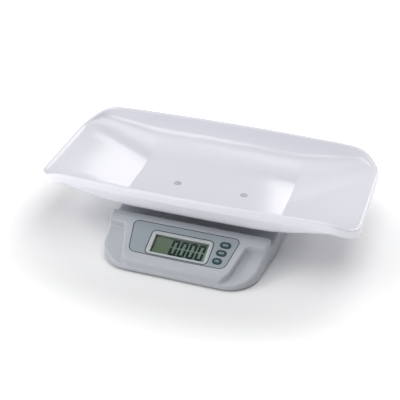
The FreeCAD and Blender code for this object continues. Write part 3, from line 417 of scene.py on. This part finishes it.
def banded(name, start, end, bands, rough):
    """Material in bands from left to right; each band has a place, a tone and a metal share."""
    material, shader = new_material(name, rough)
    nodes = material.node_tree.nodes
    links = material.node_tree.links
    where = nodes.new("ShaderNodeTexCoord")
    parts = nodes.new("ShaderNodeSeparateXYZ")
    reach = nodes.new("ShaderNodeMapRange")
    reach.inputs["From Min"].default_value = start * MM
    reach.inputs["From Max"].default_value = end * MM
    links.new(where.outputs["Object"], parts.inputs["Vector"])
    links.new(parts.outputs["X"], reach.inputs["Value"])
    tones = [(place, (*tone, 1)) for place, tone, metal in bands]
    metals = [(place, (metal, metal, metal, 1)) for place, tone, metal in bands]
    for socket, stops in (("Base Color", tones), ("Metallic", metals)):
        ramp = nodes.new("ShaderNodeValToRGB")
        ramp.color_ramp.interpolation = "CONSTANT"
        ramp.color_ramp.elements[0].color = stops[0][1]
        ramp.color_ramp.elements.remove(ramp.color_ramp.elements[1])
        for place, value in stops[1:]:
            ramp.color_ramp.elements.new(place).color = value
        links.new(reach.outputs["Result"], ramp.inputs["Fac"])
        links.new(ramp.outputs["Color"], shader.inputs[socket])
    scuff_scale = 700.0
    smoothest = rough - 0.08
    roughest = rough + 0.12
    scuff = nodes.new("ShaderNodeTexNoise")
    scuff.inputs["Scale"].default_value = scuff_scale
    gloss = nodes.new("ShaderNodeMapRange")
    gloss.inputs["To Min"].default_value = smoothest
    gloss.inputs["To Max"].default_value = roughest
    links.new(where.outputs["Object"], scuff.inputs["Vector"])
    links.new(scuff.outputs["Fac"], gloss.inputs["Value"])
    links.new(gloss.outputs["Result"], shader.inputs["Roughness"])
    return material


bare_steel = (0.62, 0.62, 0.60)
label_black = (0.015, 0.018, 0.022)
label_gold = (0.50, 0.36, 0.10)
label_green = (0.04, 0.22, 0.12)
cell_start = -109.2
cell_end = -58.8
cell_bands = [(0.0, bare_steel, 1.0), (0.02, label_black, 0.0), (0.62, label_gold, 0.6),
              (0.64, label_green, 0.0), (0.95, label_gold, 0.6), (0.965, bare_steel, 1.0)]
dress("batteries", banded("cell_label", cell_start, cell_end, cell_bands, 0.26))
nickel = grained("contact_nickel", (0.66, 0.64, 0.58), (0.72, 0.70, 0.64), 0.28, 0.08, 2600,
                 0.00001, metallic=1.0)
dress("battery_contacts", nickel)
dress("battery_door", plate_grey)

# ======== Load cell with its plate and bridge ========
# A milled aluminium bar, screwed at one end to a steel plate and at the other to a cast
# bridge, whose two posts carry the platform. Foil gauges are glued over its thin spots.

plate_steel = grained("plate_steel", (0.60, 0.61, 0.62), (0.66, 0.66, 0.66), 0.36, 0.1, 900,
                      0.00002, metallic=1.0, stretch=(1, 0.08, 1))
aluminium = grained("bar_aluminium", (0.76, 0.76, 0.77), (0.82, 0.82, 0.82), 0.3, 0.1, 1400,
                    0.00002, metallic=1.0, stretch=(0.08, 1, 1))
cast = grained("cast_alloy", (0.52, 0.53, 0.54), (0.58, 0.58, 0.58), 0.5, 0.1, 1600, 0.00008,
               metallic=1.0)
gauge_foil = grained("gauge_foil", (0.50, 0.33, 0.10), (0.62, 0.42, 0.14), 0.3, 0.08, 3200, 0.00001)
for node, finish in (("cell_plate", plate_steel), ("cell_plate_screws", zinc),
                     ("lower_spacer", plate_steel), ("load_cell", aluminium),
                     ("strain_gauges", gauge_foil), ("cell_lower_screws", zinc),
                     ("cell_upper_screws", zinc), ("upper_spacer", plate_steel),
                     ("load_bridge", cast)):
    dress(node, finish)

bend_half = 12
bend_step = 2
weld_reach = 0.000002
cut_reach = 0.0000001
crease_angle = math.radians(40)


def bending_piece(name, node):
    """The node's own shape with cuts across it."""
    mesh = bmesh.new()
    mesh.from_mesh(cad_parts[node].data)
    bmesh.ops.remove_doubles(mesh, verts=mesh.verts, dist=weld_reach)
    for x in range(-bend_half, bend_half + 1, bend_step):
        bmesh.ops.bisect_plane(mesh, geom=mesh.verts[:] + mesh.edges[:] + mesh.faces[:],
                               dist=cut_reach, plane_co=(x * MM, 0, 0), plane_no=(1, 0, 0))
    piece = finished(mesh, name)
    piece.data.materials.append(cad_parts[node].data.materials[0])
    piece.data.set_sharp_from_angle(angle=crease_angle)
    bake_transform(piece)
    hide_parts(node)


bending_piece("load_cell_bar", "load_cell")
bending_piece("cell_gauges", "strain_gauges")

# ======== Circuit board ========
# A green board hangs from posts under the console. It carries the chips, two cable sockets and
# the three key switches with their plungers.

board_green = grained("circuit_green", (0.012, 0.10, 0.040), (0.018, 0.13, 0.052), 0.32, 0.1, 1100,
                      0.00003)
track_scale = 120.0
track_width = 0.035
track_reach = 0.9
track_green = (0.05, 0.24, 0.09, 1)
board_nodes = board_green.node_tree.nodes
board_links = board_green.node_tree.links
tracks = board_nodes.new("ShaderNodeTexBrick")
tracks.inputs["Scale"].default_value = track_scale
tracks.inputs["Mortar Size"].default_value = track_width
tracks.inputs["Brick Width"].default_value = track_reach
tracks.inputs["Mortar"].default_value = track_green
board_tone = board_nodes["Mix"].outputs[2]
board_links.new(board_nodes["Mapping"].outputs["Vector"], tracks.inputs["Vector"])
board_links.new(board_tone, tracks.inputs["Color1"])
board_links.new(board_tone, tracks.inputs["Color2"])
board_links.new(tracks.outputs["Color"], board_nodes["Principled BSDF"].inputs["Base Color"])
chip_black = grained("chip_black", (0.018, 0.018, 0.020), (0.030, 0.030, 0.032), 0.55, 0.1, 2600,
                     0.00003)
socket_cream = grained("socket_cream", (0.78, 0.74, 0.62), (0.82, 0.78, 0.67), 0.42, 0.08, 2200,
                       0.00002)
switch_black = grained("switch_black", (0.020, 0.020, 0.022), (0.035, 0.035, 0.036), 0.4, 0.08,
                       2600, 0.00002)
plunger_tan = grained("plunger_tan", (0.42, 0.30, 0.17), (0.48, 0.35, 0.21), 0.45, 0.08, 2400,
                      0.00002)
for node, finish in (("main_board", board_green), ("board_screws", zinc),
                     ("board_chips", chip_black), ("cable_sockets", socket_cream),
                     ("key_switches", switch_black), ("switch_plunger_power", plunger_tan),
                     ("switch_plunger_tare", plunger_tan), ("switch_plunger_hold", plunger_tan)):
    dress(node, finish)

# ======== Cables ========
# Two round leads in grey sheaths, one from the load cell and one from the battery bay. They
# lie loose inside the base and are plugged into the board.

cable_grey = grained("cable_grey", (0.22, 0.22, 0.23), (0.27, 0.27, 0.28), 0.5, 0.08, 1800, 0.00003)
dress("load_cell_cable", cable_grey)
dress("battery_leads", cable_grey)

# ======== Top housing ========
# Moulded ABS cover: a low deck under the tray, sloping shoulders and the raised console with
# its pocket for the overlay. Its surface is smooth with a soft gloss.

housing_grey = grained("housing_grey", (0.45, 0.474, 0.509), (0.465, 0.489, 0.524), 0.27, 0.05,
                       2200, 0.00002)
dress("housing_top", housing_grey)

# ======== Display ========
# Liquid crystal glass over a reflector in a white holder, joined to the board by rubber
# strips. Thin dark bars on the glass show four noughts, and a black mask hides its edge.

panel_tilt = math.radians(17.8)
panel_place = Vector((0, -119.0, 38.78)) * MM


def on_panel(u, v, w):
    """Place in the scene of a point given along, up and above the sloping panel, in mm."""
    return panel_place + Vector((u, v * math.cos(panel_tilt) - w * math.sin(panel_tilt),
                                 v * math.sin(panel_tilt) + w * math.cos(panel_tilt))) * MM


def rounded_loop(corners, radii, steps=8):
    """Outline with rounded corners, the same number of points at each."""
    loop = []
    for k, corner in enumerate(corners):
        here = Vector(corner)
        to_last = (Vector(corners[k - 1]) - here).normalized()
        to_next = (Vector(corners[(k + 1) % len(corners)]) - here).normalized()
        half = to_last.angle(to_next) / 2
        middle = here + (to_last + to_next).normalized() * (radii[k] / math.sin(half))
        first = here + to_last * (radii[k] / math.tan(half)) - middle
        turn = math.pi - 2 * half
        for i in range(steps + 1):
            angle = turn * i / steps
            loop.append((middle.x + first.x * math.cos(angle) - first.y * math.sin(angle),
                         middle.y + first.x * math.sin(angle) + first.y * math.cos(angle)))
    return loop


def block_loop(width, height, radius, u, v):
    """Outline of a rectangle with rounded corners round a middle point."""
    x = width / 2
    y = height / 2
    corners = [(u - x, v - y), (u + x, v - y), (u + x, v + y), (u - x, v + y)]
    return rounded_loop(corners, [radius] * 4)


def moved_in(loop, step):
    """The same outline, a step further in."""
    moved = []
    for k, (x, y) in enumerate(loop):
        along = Vector(loop[(k + 1) % len(loop)]) - Vector(loop[k - 1])
        along.normalize()
        moved.append((x - along.y * step, y + along.x * step))
    return moved


def ringed_piece(name, rings, finishes, bands, closed=False, smooth=True):
    """Skin over outlines at given heights on the panel; the ends are capped or joined."""
    count = len(rings[0][0])
    points = [on_panel(u, v, w) for loop, w in rings for u, v in loop]
    faces = []
    indexes = []
    for ring in range(len(rings) if closed else len(rings) - 1):
        low = ring * count
        high = (ring + 1) % len(rings) * count
        for k in range(count):
            turn = (k + 1) % count
            faces.append((low + k, low + turn, high + turn, high + k))
            indexes.append(bands[ring])
    if not closed:
        top = (len(rings) - 1) * count
        faces.append(tuple(range(top, top + count)))
        indexes.append(bands[len(rings) - 1])
        faces.append(tuple(reversed(range(count))))
        indexes.append(bands[0])
    piece = mesh_piece(name, points, faces, finishes, indexes, smooth)
    piece.data.set_sharp_from_angle(angle=crease_angle)
    return piece


def between(name, first, second, from_u, to_u, rough):
    """Material that passes from one tone to another along the panel."""
    cloud_scale = 60.0
    cloud_sway = 0.16
    material, shader = new_material(name, rough)
    nodes = material.node_tree.nodes
    links = material.node_tree.links
    where = nodes.new("ShaderNodeTexCoord")
    parts = nodes.new("ShaderNodeSeparateXYZ")
    reach = nodes.new("ShaderNodeMapRange")
    reach.interpolation_type = "SMOOTHSTEP"
    reach.inputs["From Min"].default_value = from_u * MM
    reach.inputs["From Max"].default_value = to_u * MM
    cloud = nodes.new("ShaderNodeTexNoise")
    cloud.inputs["Scale"].default_value = cloud_scale
    sway = nodes.new("ShaderNodeMath")
    sway.operation = "MULTIPLY_ADD"
    sway.inputs[1].default_value = cloud_sway
    share, mixed = tone_mix(nodes, first, second)
    links.new(where.outputs["Object"], parts.inputs["Vector"])
    links.new(where.outputs["Object"], cloud.inputs["Vector"])
    links.new(parts.outputs["X"], reach.inputs["Value"])
    links.new(cloud.outputs["Fac"], sway.inputs[0])
    links.new(reach.outputs["Result"], sway.inputs[2])
    links.new(sway.outputs[0], share)
    links.new(mixed, shader.inputs["Base Color"])
    return material


# Painted viewing-angle shade: the liquid crystal glass runs from a darker olive on the left to a
# lighter green on the right; the cloud over it is uneven tone.
glass_shaded_olive = (0.127, 0.181, 0.112)
glass_lit_green = (0.185, 0.275, 0.218)
shade_until = -26
lit_from = 8
dress("lcd_glass", between("lcd_glass", glass_shaded_olive, glass_lit_green, shade_until, lit_from, 0.2))
dress("lcd_reflector", grained("reflector", (0.70, 0.72, 0.70), (0.75, 0.77, 0.75), 0.35, 0.08,
                               1200, 0.00001))
dress("lcd_holder", grained("holder_white", (0.72, 0.72, 0.72), (0.77, 0.77, 0.77), 0.45, 0.08,
                            2200, 0.00003))
zebra_rubber = grained("zebra_rubber", (0.06, 0.06, 0.06), (0.30, 0.24, 0.16), 0.6, 0.1, 900,
                       0.00003)
stripe_scale = 780.0
zebra_nodes = zebra_rubber.node_tree.nodes
zebra_links = zebra_rubber.node_tree.links
stripes = zebra_nodes.new("ShaderNodeTexWave")
stripes.inputs["Scale"].default_value = stripe_scale
zebra_links.new(zebra_nodes["Mapping"].outputs["Vector"], stripes.inputs["Vector"])
zebra_links.new(stripes.outputs["Fac"], zebra_nodes["Mix"].inputs[0])
dress("contact_strips", zebra_rubber)

glass_top = -3.6
mask_thick = 0.05
mask_top = glass_top + mask_thick
# Black for the mask's print, and for the walls of the frame's opening, where it is partly painted
# shade.
black_print_and_shade = grained("black_print_and_shade", (0.012, 0.014, 0.014), (0.020, 0.022, 0.022), 0.4, 0.06, 2600,
                      0.00001)
window_centre = (-1.05, -7.35)
mask_wide = 94.5
mask_high = 38.9
mask_corner = 1.0
clear_wide = 88.8
clear_high = 34.0
clear_corner = 0.6
clear_centre = (window_centre[0] + 1.0, window_centre[1] - 0.55)
mask_out = block_loop(mask_wide, mask_high, mask_corner, *window_centre)
mask_in = block_loop(clear_wide, clear_high, clear_corner, *clear_centre)
mask_rings = [(mask_out, glass_top), (mask_out, mask_top), (mask_in, mask_top),
              (mask_in, glass_top)]
mask = ringed_piece("lcd_mask", mask_rings, [black_print_and_shade], [0, 0, 0, 0], closed=True, smooth=False)
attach(mask, "base")

segment_dark = grained("segment_dark", (0.003, 0.012, 0.009), (0.005, 0.016, 0.012), 0.3, 0.05,
                       2600, 0.000005)
segment_sheen = 0.1
segment_shader = segment_dark.node_tree.nodes["Principled BSDF"]
segment_shader.inputs["Specular IOR Level"].default_value = segment_sheen
segment_lift = 0.005
segment_low = glass_top + segment_lift
segment_thick = 0.03
digit_wide = 12.6
digit_high = 31.0
digit_bar = 4.2
digit_seam = 0.25
digit_low = window_centre[1] - digit_high / 2
digit_lefts = (-17.4, -2.6, 12.2, 27.0)
digit_lean = 0.06


def bar_outlines(width, height, bar, seam):
    """The six outer bars of a seven-bar nought, with mitred ends."""
    middle = height / 2
    notch = bar * 0.55
    low = [(seam, 0), (width - seam, 0), (width - bar - seam, bar), (bar + seam, bar)]
    side = [(0, seam), (bar, bar + seam), (bar, middle - notch), (bar / 2, middle - seam),
            (0, middle - bar / 2)]
    bars = [low, side, [(width - x, y) for x, y in reversed(side)]]
    return bars + [[(x, height - y) for x, y in reversed(outline)] for outline in bars]


def slab_form(name, outlines, thick):
    """Thin plates over flat outlines, in millimetres, lying in the plane of the form."""
    points = []
    faces = []
    for outline in outlines:
        start = len(points)
        count = len(outline)
        points += [(x, y, 0) for x, y in outline] + [(x, y, thick) for x, y in outline]
        faces.append(tuple(start + k for k in reversed(range(count))))
        faces.append(tuple(start + count + k for k in range(count)))
        for k in range(count):
            turn = (k + 1) % count
            faces.append((start + k, start + turn, start + count + turn, start + count + k))
    return mesh_piece(name, points, faces, [], smooth=False)


nought_bars = [[(x + digit_lean * y, y) for x, y in outline]
               for outline in bar_outlines(digit_wide, digit_high, digit_bar, digit_seam)]
nought_form = slab_form("nought_form", nought_bars, segment_thick)
nought_places = [on_panel(u, digit_low, segment_low) for u in digit_lefts]
noughts = set_out("lcd_noughts", nought_form, nought_places, MM, MM, panel_tilt, segment_dark)
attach(noughts, "base")
point_wide = 2.2
point_high = 2.6
point_corner = 0.2
point_u = digit_lefts[1] - 1.5
point_loop = block_loop(point_wide, point_high, point_corner, point_u, digit_low + point_high / 2)
point_rings = [(point_loop, segment_low), (point_loop, segment_low + segment_thick)]
point_bar = ringed_piece("lcd_point", point_rings, [segment_dark], [0, 0], smooth=False)
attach(point_bar, "base")

# ======== Display window and its frame ========
# Clear acrylic window held under a moulded frame with rounded edges. The walls of the frame's
# opening are black, partly their own dark colour and partly painted shade of the recess, so that
# the display looks deep.

window_rough = 0.05
window_tone = (0.10, 0.12, 0.12, 1)
window_cover = 0.06
smear_scale = 90.0
smear_least = 0.03
smear_most = 0.10
window_clear, window_shader = new_material("clear_window", window_rough)
window_shader.inputs["Base Color"].default_value = window_tone
window_shader.inputs["Alpha"].default_value = window_cover
window_nodes = window_clear.node_tree.nodes
window_links = window_clear.node_tree.links
smear_place = window_nodes.new("ShaderNodeTexCoord")
smear = window_nodes.new("ShaderNodeTexNoise")
smear.inputs["Scale"].default_value = smear_scale
smear_range = window_nodes.new("ShaderNodeMapRange")
smear_range.inputs["To Min"].default_value = smear_least
smear_range.inputs["To Max"].default_value = smear_most
window_links.new(smear_place.outputs["Object"], smear.inputs["Vector"])
window_links.new(smear.outputs["Fac"], smear_range.inputs["Value"])
window_links.new(smear_range.outputs["Result"], window_shader.inputs["Roughness"])
dress("display_window", window_clear)

bezel_silver = grained("bezel_silver", (0.45, 0.48, 0.49), (0.48, 0.51, 0.52), 0.3, 0.05, 2400,
                       0.00001)
bezel_centre = (-1.5, -5.85)
bezel_wide = 104.0
bezel_high = 46.3
bezel_corner = 7.0
opening_wide = 91.3
opening_high = 35.7
opening_corner = 0.8


def bezel_loop(step):
    """Outline of the frame, a step further in."""
    return block_loop(bezel_wide - 2 * step, bezel_high - 2 * step, bezel_corner - step,
                      *bezel_centre)


def opening_loop(step):
    """Outline of the frame's opening, a step further out."""
    return block_loop(opening_wide + 2 * step, opening_high + 2 * step,
                      opening_corner + max(0.0, step), *window_centre)


bezel_low = -3.3
ledge_under = -0.8
window_seat = -1.2
bezel_top = 0.1
bezel_rings = [(bezel_loop(2.0), bezel_low), (bezel_loop(2.0), ledge_under),
               (bezel_loop(0.0), ledge_under), (bezel_loop(0.0), -0.3),
               (bezel_loop(0.12), -0.05), (bezel_loop(0.45), bezel_top),
               (opening_loop(0.45), bezel_top), (opening_loop(0.12), 0.0),
               (opening_loop(0.0), -0.25), (opening_loop(0.0), window_seat),
               (opening_loop(1.5), window_seat), (opening_loop(1.5), bezel_low)]
# The opening's inner walls and seat take the black: partly their own colour, partly painted shade
# of the recess.
bezel = ringed_piece("display_frame", bezel_rings, [bezel_silver, black_print_and_shade],
                     [0, 0, 0, 0, 0, 0, 0, 0, 1, 1, 1, 0], closed=True)
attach(bezel, "base")
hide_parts("lcd_bezel")

# ======== Overlay ========
# Printed polyester sheet in the panel's pocket, with holes for the frame and the keys. The dark
# band along its rim is painted shadow of the pocket's gap, the dark line round the frame is partly
# print and partly painted shadow, and a thin dark line runs round each key hole.

sheet_bevel = 0.1


def sheet_on_panel(name, edge, openings, low, high, finishes):
    """Sheet with holes: its first bands inside the edge and outside the holes take the second, dark
    finish.
    """
    mesh = bmesh.new()

    def row(loop, w):
        return [mesh.verts.new(on_panel(u, v, w)) for u, v in loop]

    def rim(rows):
        return [mesh.edges.get((r[k - 1], r[k])) or mesh.edges.new((r[k - 1], r[k]))
                for r in rows for k in range(len(r))]

    bottom_rows = []
    top_rows = []
    for loops in [edge] + openings:
        bottom = row(loops[0], low)
        side = row(loops[0], high - sheet_bevel)
        top = row(loops[1], high)
        inner = row(loops[2], high)
        skin(mesh, bottom, side, 0)
        skin(mesh, side, top, 1)
        skin(mesh, top, inner, 1)
        bottom_rows.append(bottom)
        top_rows.append(inner)
    for rows in (bottom_rows, top_rows):
        bmesh.ops.triangle_fill(mesh, edges=rim(rows), use_beauty=True)
    piece = finished(mesh, name)
    for finish in finishes:
        piece.data.materials.append(finish)
    return piece


overlay_blue = grained("overlay_blue", (0.292, 0.334, 0.366), (0.312, 0.354, 0.386), 0.34, 0.06,
                       2600, 0.00003)
# Dark finish for the key words, which are print, and for the lines round the overlay's rim and
# frame, which are painted shadow, at the frame partly print.
print_and_shadow_line = grained("print_and_shadow_line", (0.012, 0.016, 0.022), (0.016, 0.020, 0.028), 0.4, 0.06, 2600,
                     0.00001)
overlay_low = -0.8
overlay_high = -0.1
# Width of the dark band along the overlay's rim: painted shadow of the pocket's gap.
rim_shadow_band = 1.25
# Width of the dark line round the frame: partly print, partly painted shadow.
frame_print_and_shadow_line = 1.3
overlay_edge = rounded_loop([(-81, -31.8), (0, -33.4), (81, -31.8), (92.6, 31.8), (-92.6, 31.8)],
                            [13.0, 1400.0, 13.0, 9.0, 9.0], 12)
key_sizes = {"power": (70.2, 14.6, 18.3), "tare": (68.0, -1.9, 17.0), "hold": (65.6, -18.5, 15.8)}
key_high = 12.0
key_gap = 0.25
key_line = 0.12
hole_high = key_high + 2 * key_gap
hole_corner = hole_high * 0.4999
frame_bevel = 0.08
key_bevel = 0.05
frame_hole = bezel_loop(-key_gap)
holes = [[frame_hole, moved_in(frame_hole, -frame_bevel), moved_in(frame_hole, -frame_print_and_shadow_line)]]
for u, v, width in key_sizes.values():
    hole = block_loop(width + 2 * key_gap, hole_high, hole_corner, u, v)
    holes.append([hole, moved_in(hole, -key_bevel), moved_in(hole, -key_line)])
edge_loops = [overlay_edge, moved_in(overlay_edge, sheet_bevel), moved_in(overlay_edge, rim_shadow_band)]
overlay = sheet_on_panel("overlay_sheet", edge_loops, holes, overlay_low, overlay_high,
                         [overlay_blue, print_and_shadow_line])
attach(overlay, "base")
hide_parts("display_overlay")

# ======== Keys ========
# Three pill-shaped keys, moulded in dark teal, each on a stem over its switch. A pale domed
# insert fills the ring on top of each and carries its word.

key_teal = grained("key_teal", (0.004, 0.036, 0.042), (0.006, 0.046, 0.052), 0.3, 0.06, 2600,
                   0.00002)
key_pale = grained("key_pale", (0.20, 0.27, 0.27), (0.22, 0.29, 0.29), 0.38, 0.06, 2600, 0.00001)
key_ring = 3.8
key_top = 0.7
insert_high = key_high - 2 * key_ring
insert_round = 0.999
insert_profile = ((0.0, -0.02), (0.0, 0.05), (0.05, 0.12), (0.3, 0.17), (1.2, 0.2))
word_size = 3.1
word_thick = 0.01
word_steps = 3
word_lift = 0.205


def word_piece(name, word, size, u, v, w, finish):
    """Raised lettering, flat on the panel and made into a plain mesh."""
    curve = bpy.data.curves.new(name, "FONT")
    curve.body = word
    curve.size = size
    curve.align_x = "CENTER"
    curve.align_y = "CENTER"
    curve.extrude = word_thick
    curve.resolution_u = word_steps
    draft = bpy.data.objects.new(name + "_draft", curve)
    scene.collection.objects.link(draft)
    graph = bpy.context.evaluated_depsgraph_get()
    graph.update()
    mesh = bpy.data.meshes.new_from_object(draft.evaluated_get(graph))
    bpy.data.objects.remove(draft)
    for point in mesh.vertices:
        point.co = on_panel(u + point.co.x, v + point.co.y, w + point.co.z)
    mesh.materials.clear()
    mesh.materials.append(finish)
    piece = bpy.data.objects.new(name, mesh)
    scene.collection.objects.link(piece)
    return piece


for name, word in (("power", "ON/OFF"), ("tare", "TARE"), ("hold", "HOLD")):
    u, v, width = key_sizes[name]
    dress("button_" + name, key_teal)
    insert_rings = [(block_loop(width - 2 * key_ring - 2 * step, insert_high - 2 * step,
                                (insert_high / 2 - step) * insert_round, u, v), key_top + rise)
                    for step, rise in insert_profile]
    insert = ringed_piece("key_insert_" + name, insert_rings, [key_pale], [0] * len(insert_rings))
    lettering = word_piece("key_word_" + name, word, word_size, u, v, key_top + word_lift,
                           print_and_shadow_line)
    for piece in (insert, lettering):
        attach(piece, name + "_key")

# ======== Platform under the tray ========
# Folded steel plate on the bridge's posts. Silicone pads on it bear the tray, and four stop
# screws save the load cell from an overload.

dress("tray_platform", plate_steel)
dress("platform_pads", grained("pad_silicone", (0.40, 0.41, 0.42), (0.45, 0.46, 0.47), 0.6, 0.08,
                               1800, 0.00003))
dress("stop_screws", zinc)

# ======== Tray with its screws and caps ========
# Glossy white ABS pan with a rolled rim and a short skirt. Two screws hold it down in wells,
# which grey caps close.

tray_white = grained("tray_white", (0.80, 0.80, 0.855), (0.81, 0.81, 0.865), 0.12, 0.03, 1800,
                     0.00001, cloud_scale=8.0)
dress("tray", tray_white)
dress("tray_screws", zinc)
cap_grey = grained("cap_grey", (0.49, 0.49, 0.51), (0.53, 0.53, 0.55), 0.4, 0.06, 2400, 0.00003)
cap_profile = [(0, 0), (0.97, 0), (1, 0.05), (1, 0.80), (0.97, 0.93), (0.90, 1.0), (0.66, 1.0),
               (0.61, 0.94), (0.50, 0.78), (0.42, 0.74), (0, 0.74)]
cap_form = turned_form("cap_form", cap_profile)
cap_radius = 6.5 * MM
cap_height = 1.65 * MM
cap_x = 60 * MM
cap_y = 34 * MM
cap_under = 50.2 * MM
cap_places = [(side * cap_x, cap_y, cap_under) for side in (-1, 1)]
caps = set_out("tray_screw_caps", cap_form, cap_places, cap_radius, cap_height, 0.0, cap_grey)
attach(caps, "platform")
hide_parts("screw_caps")
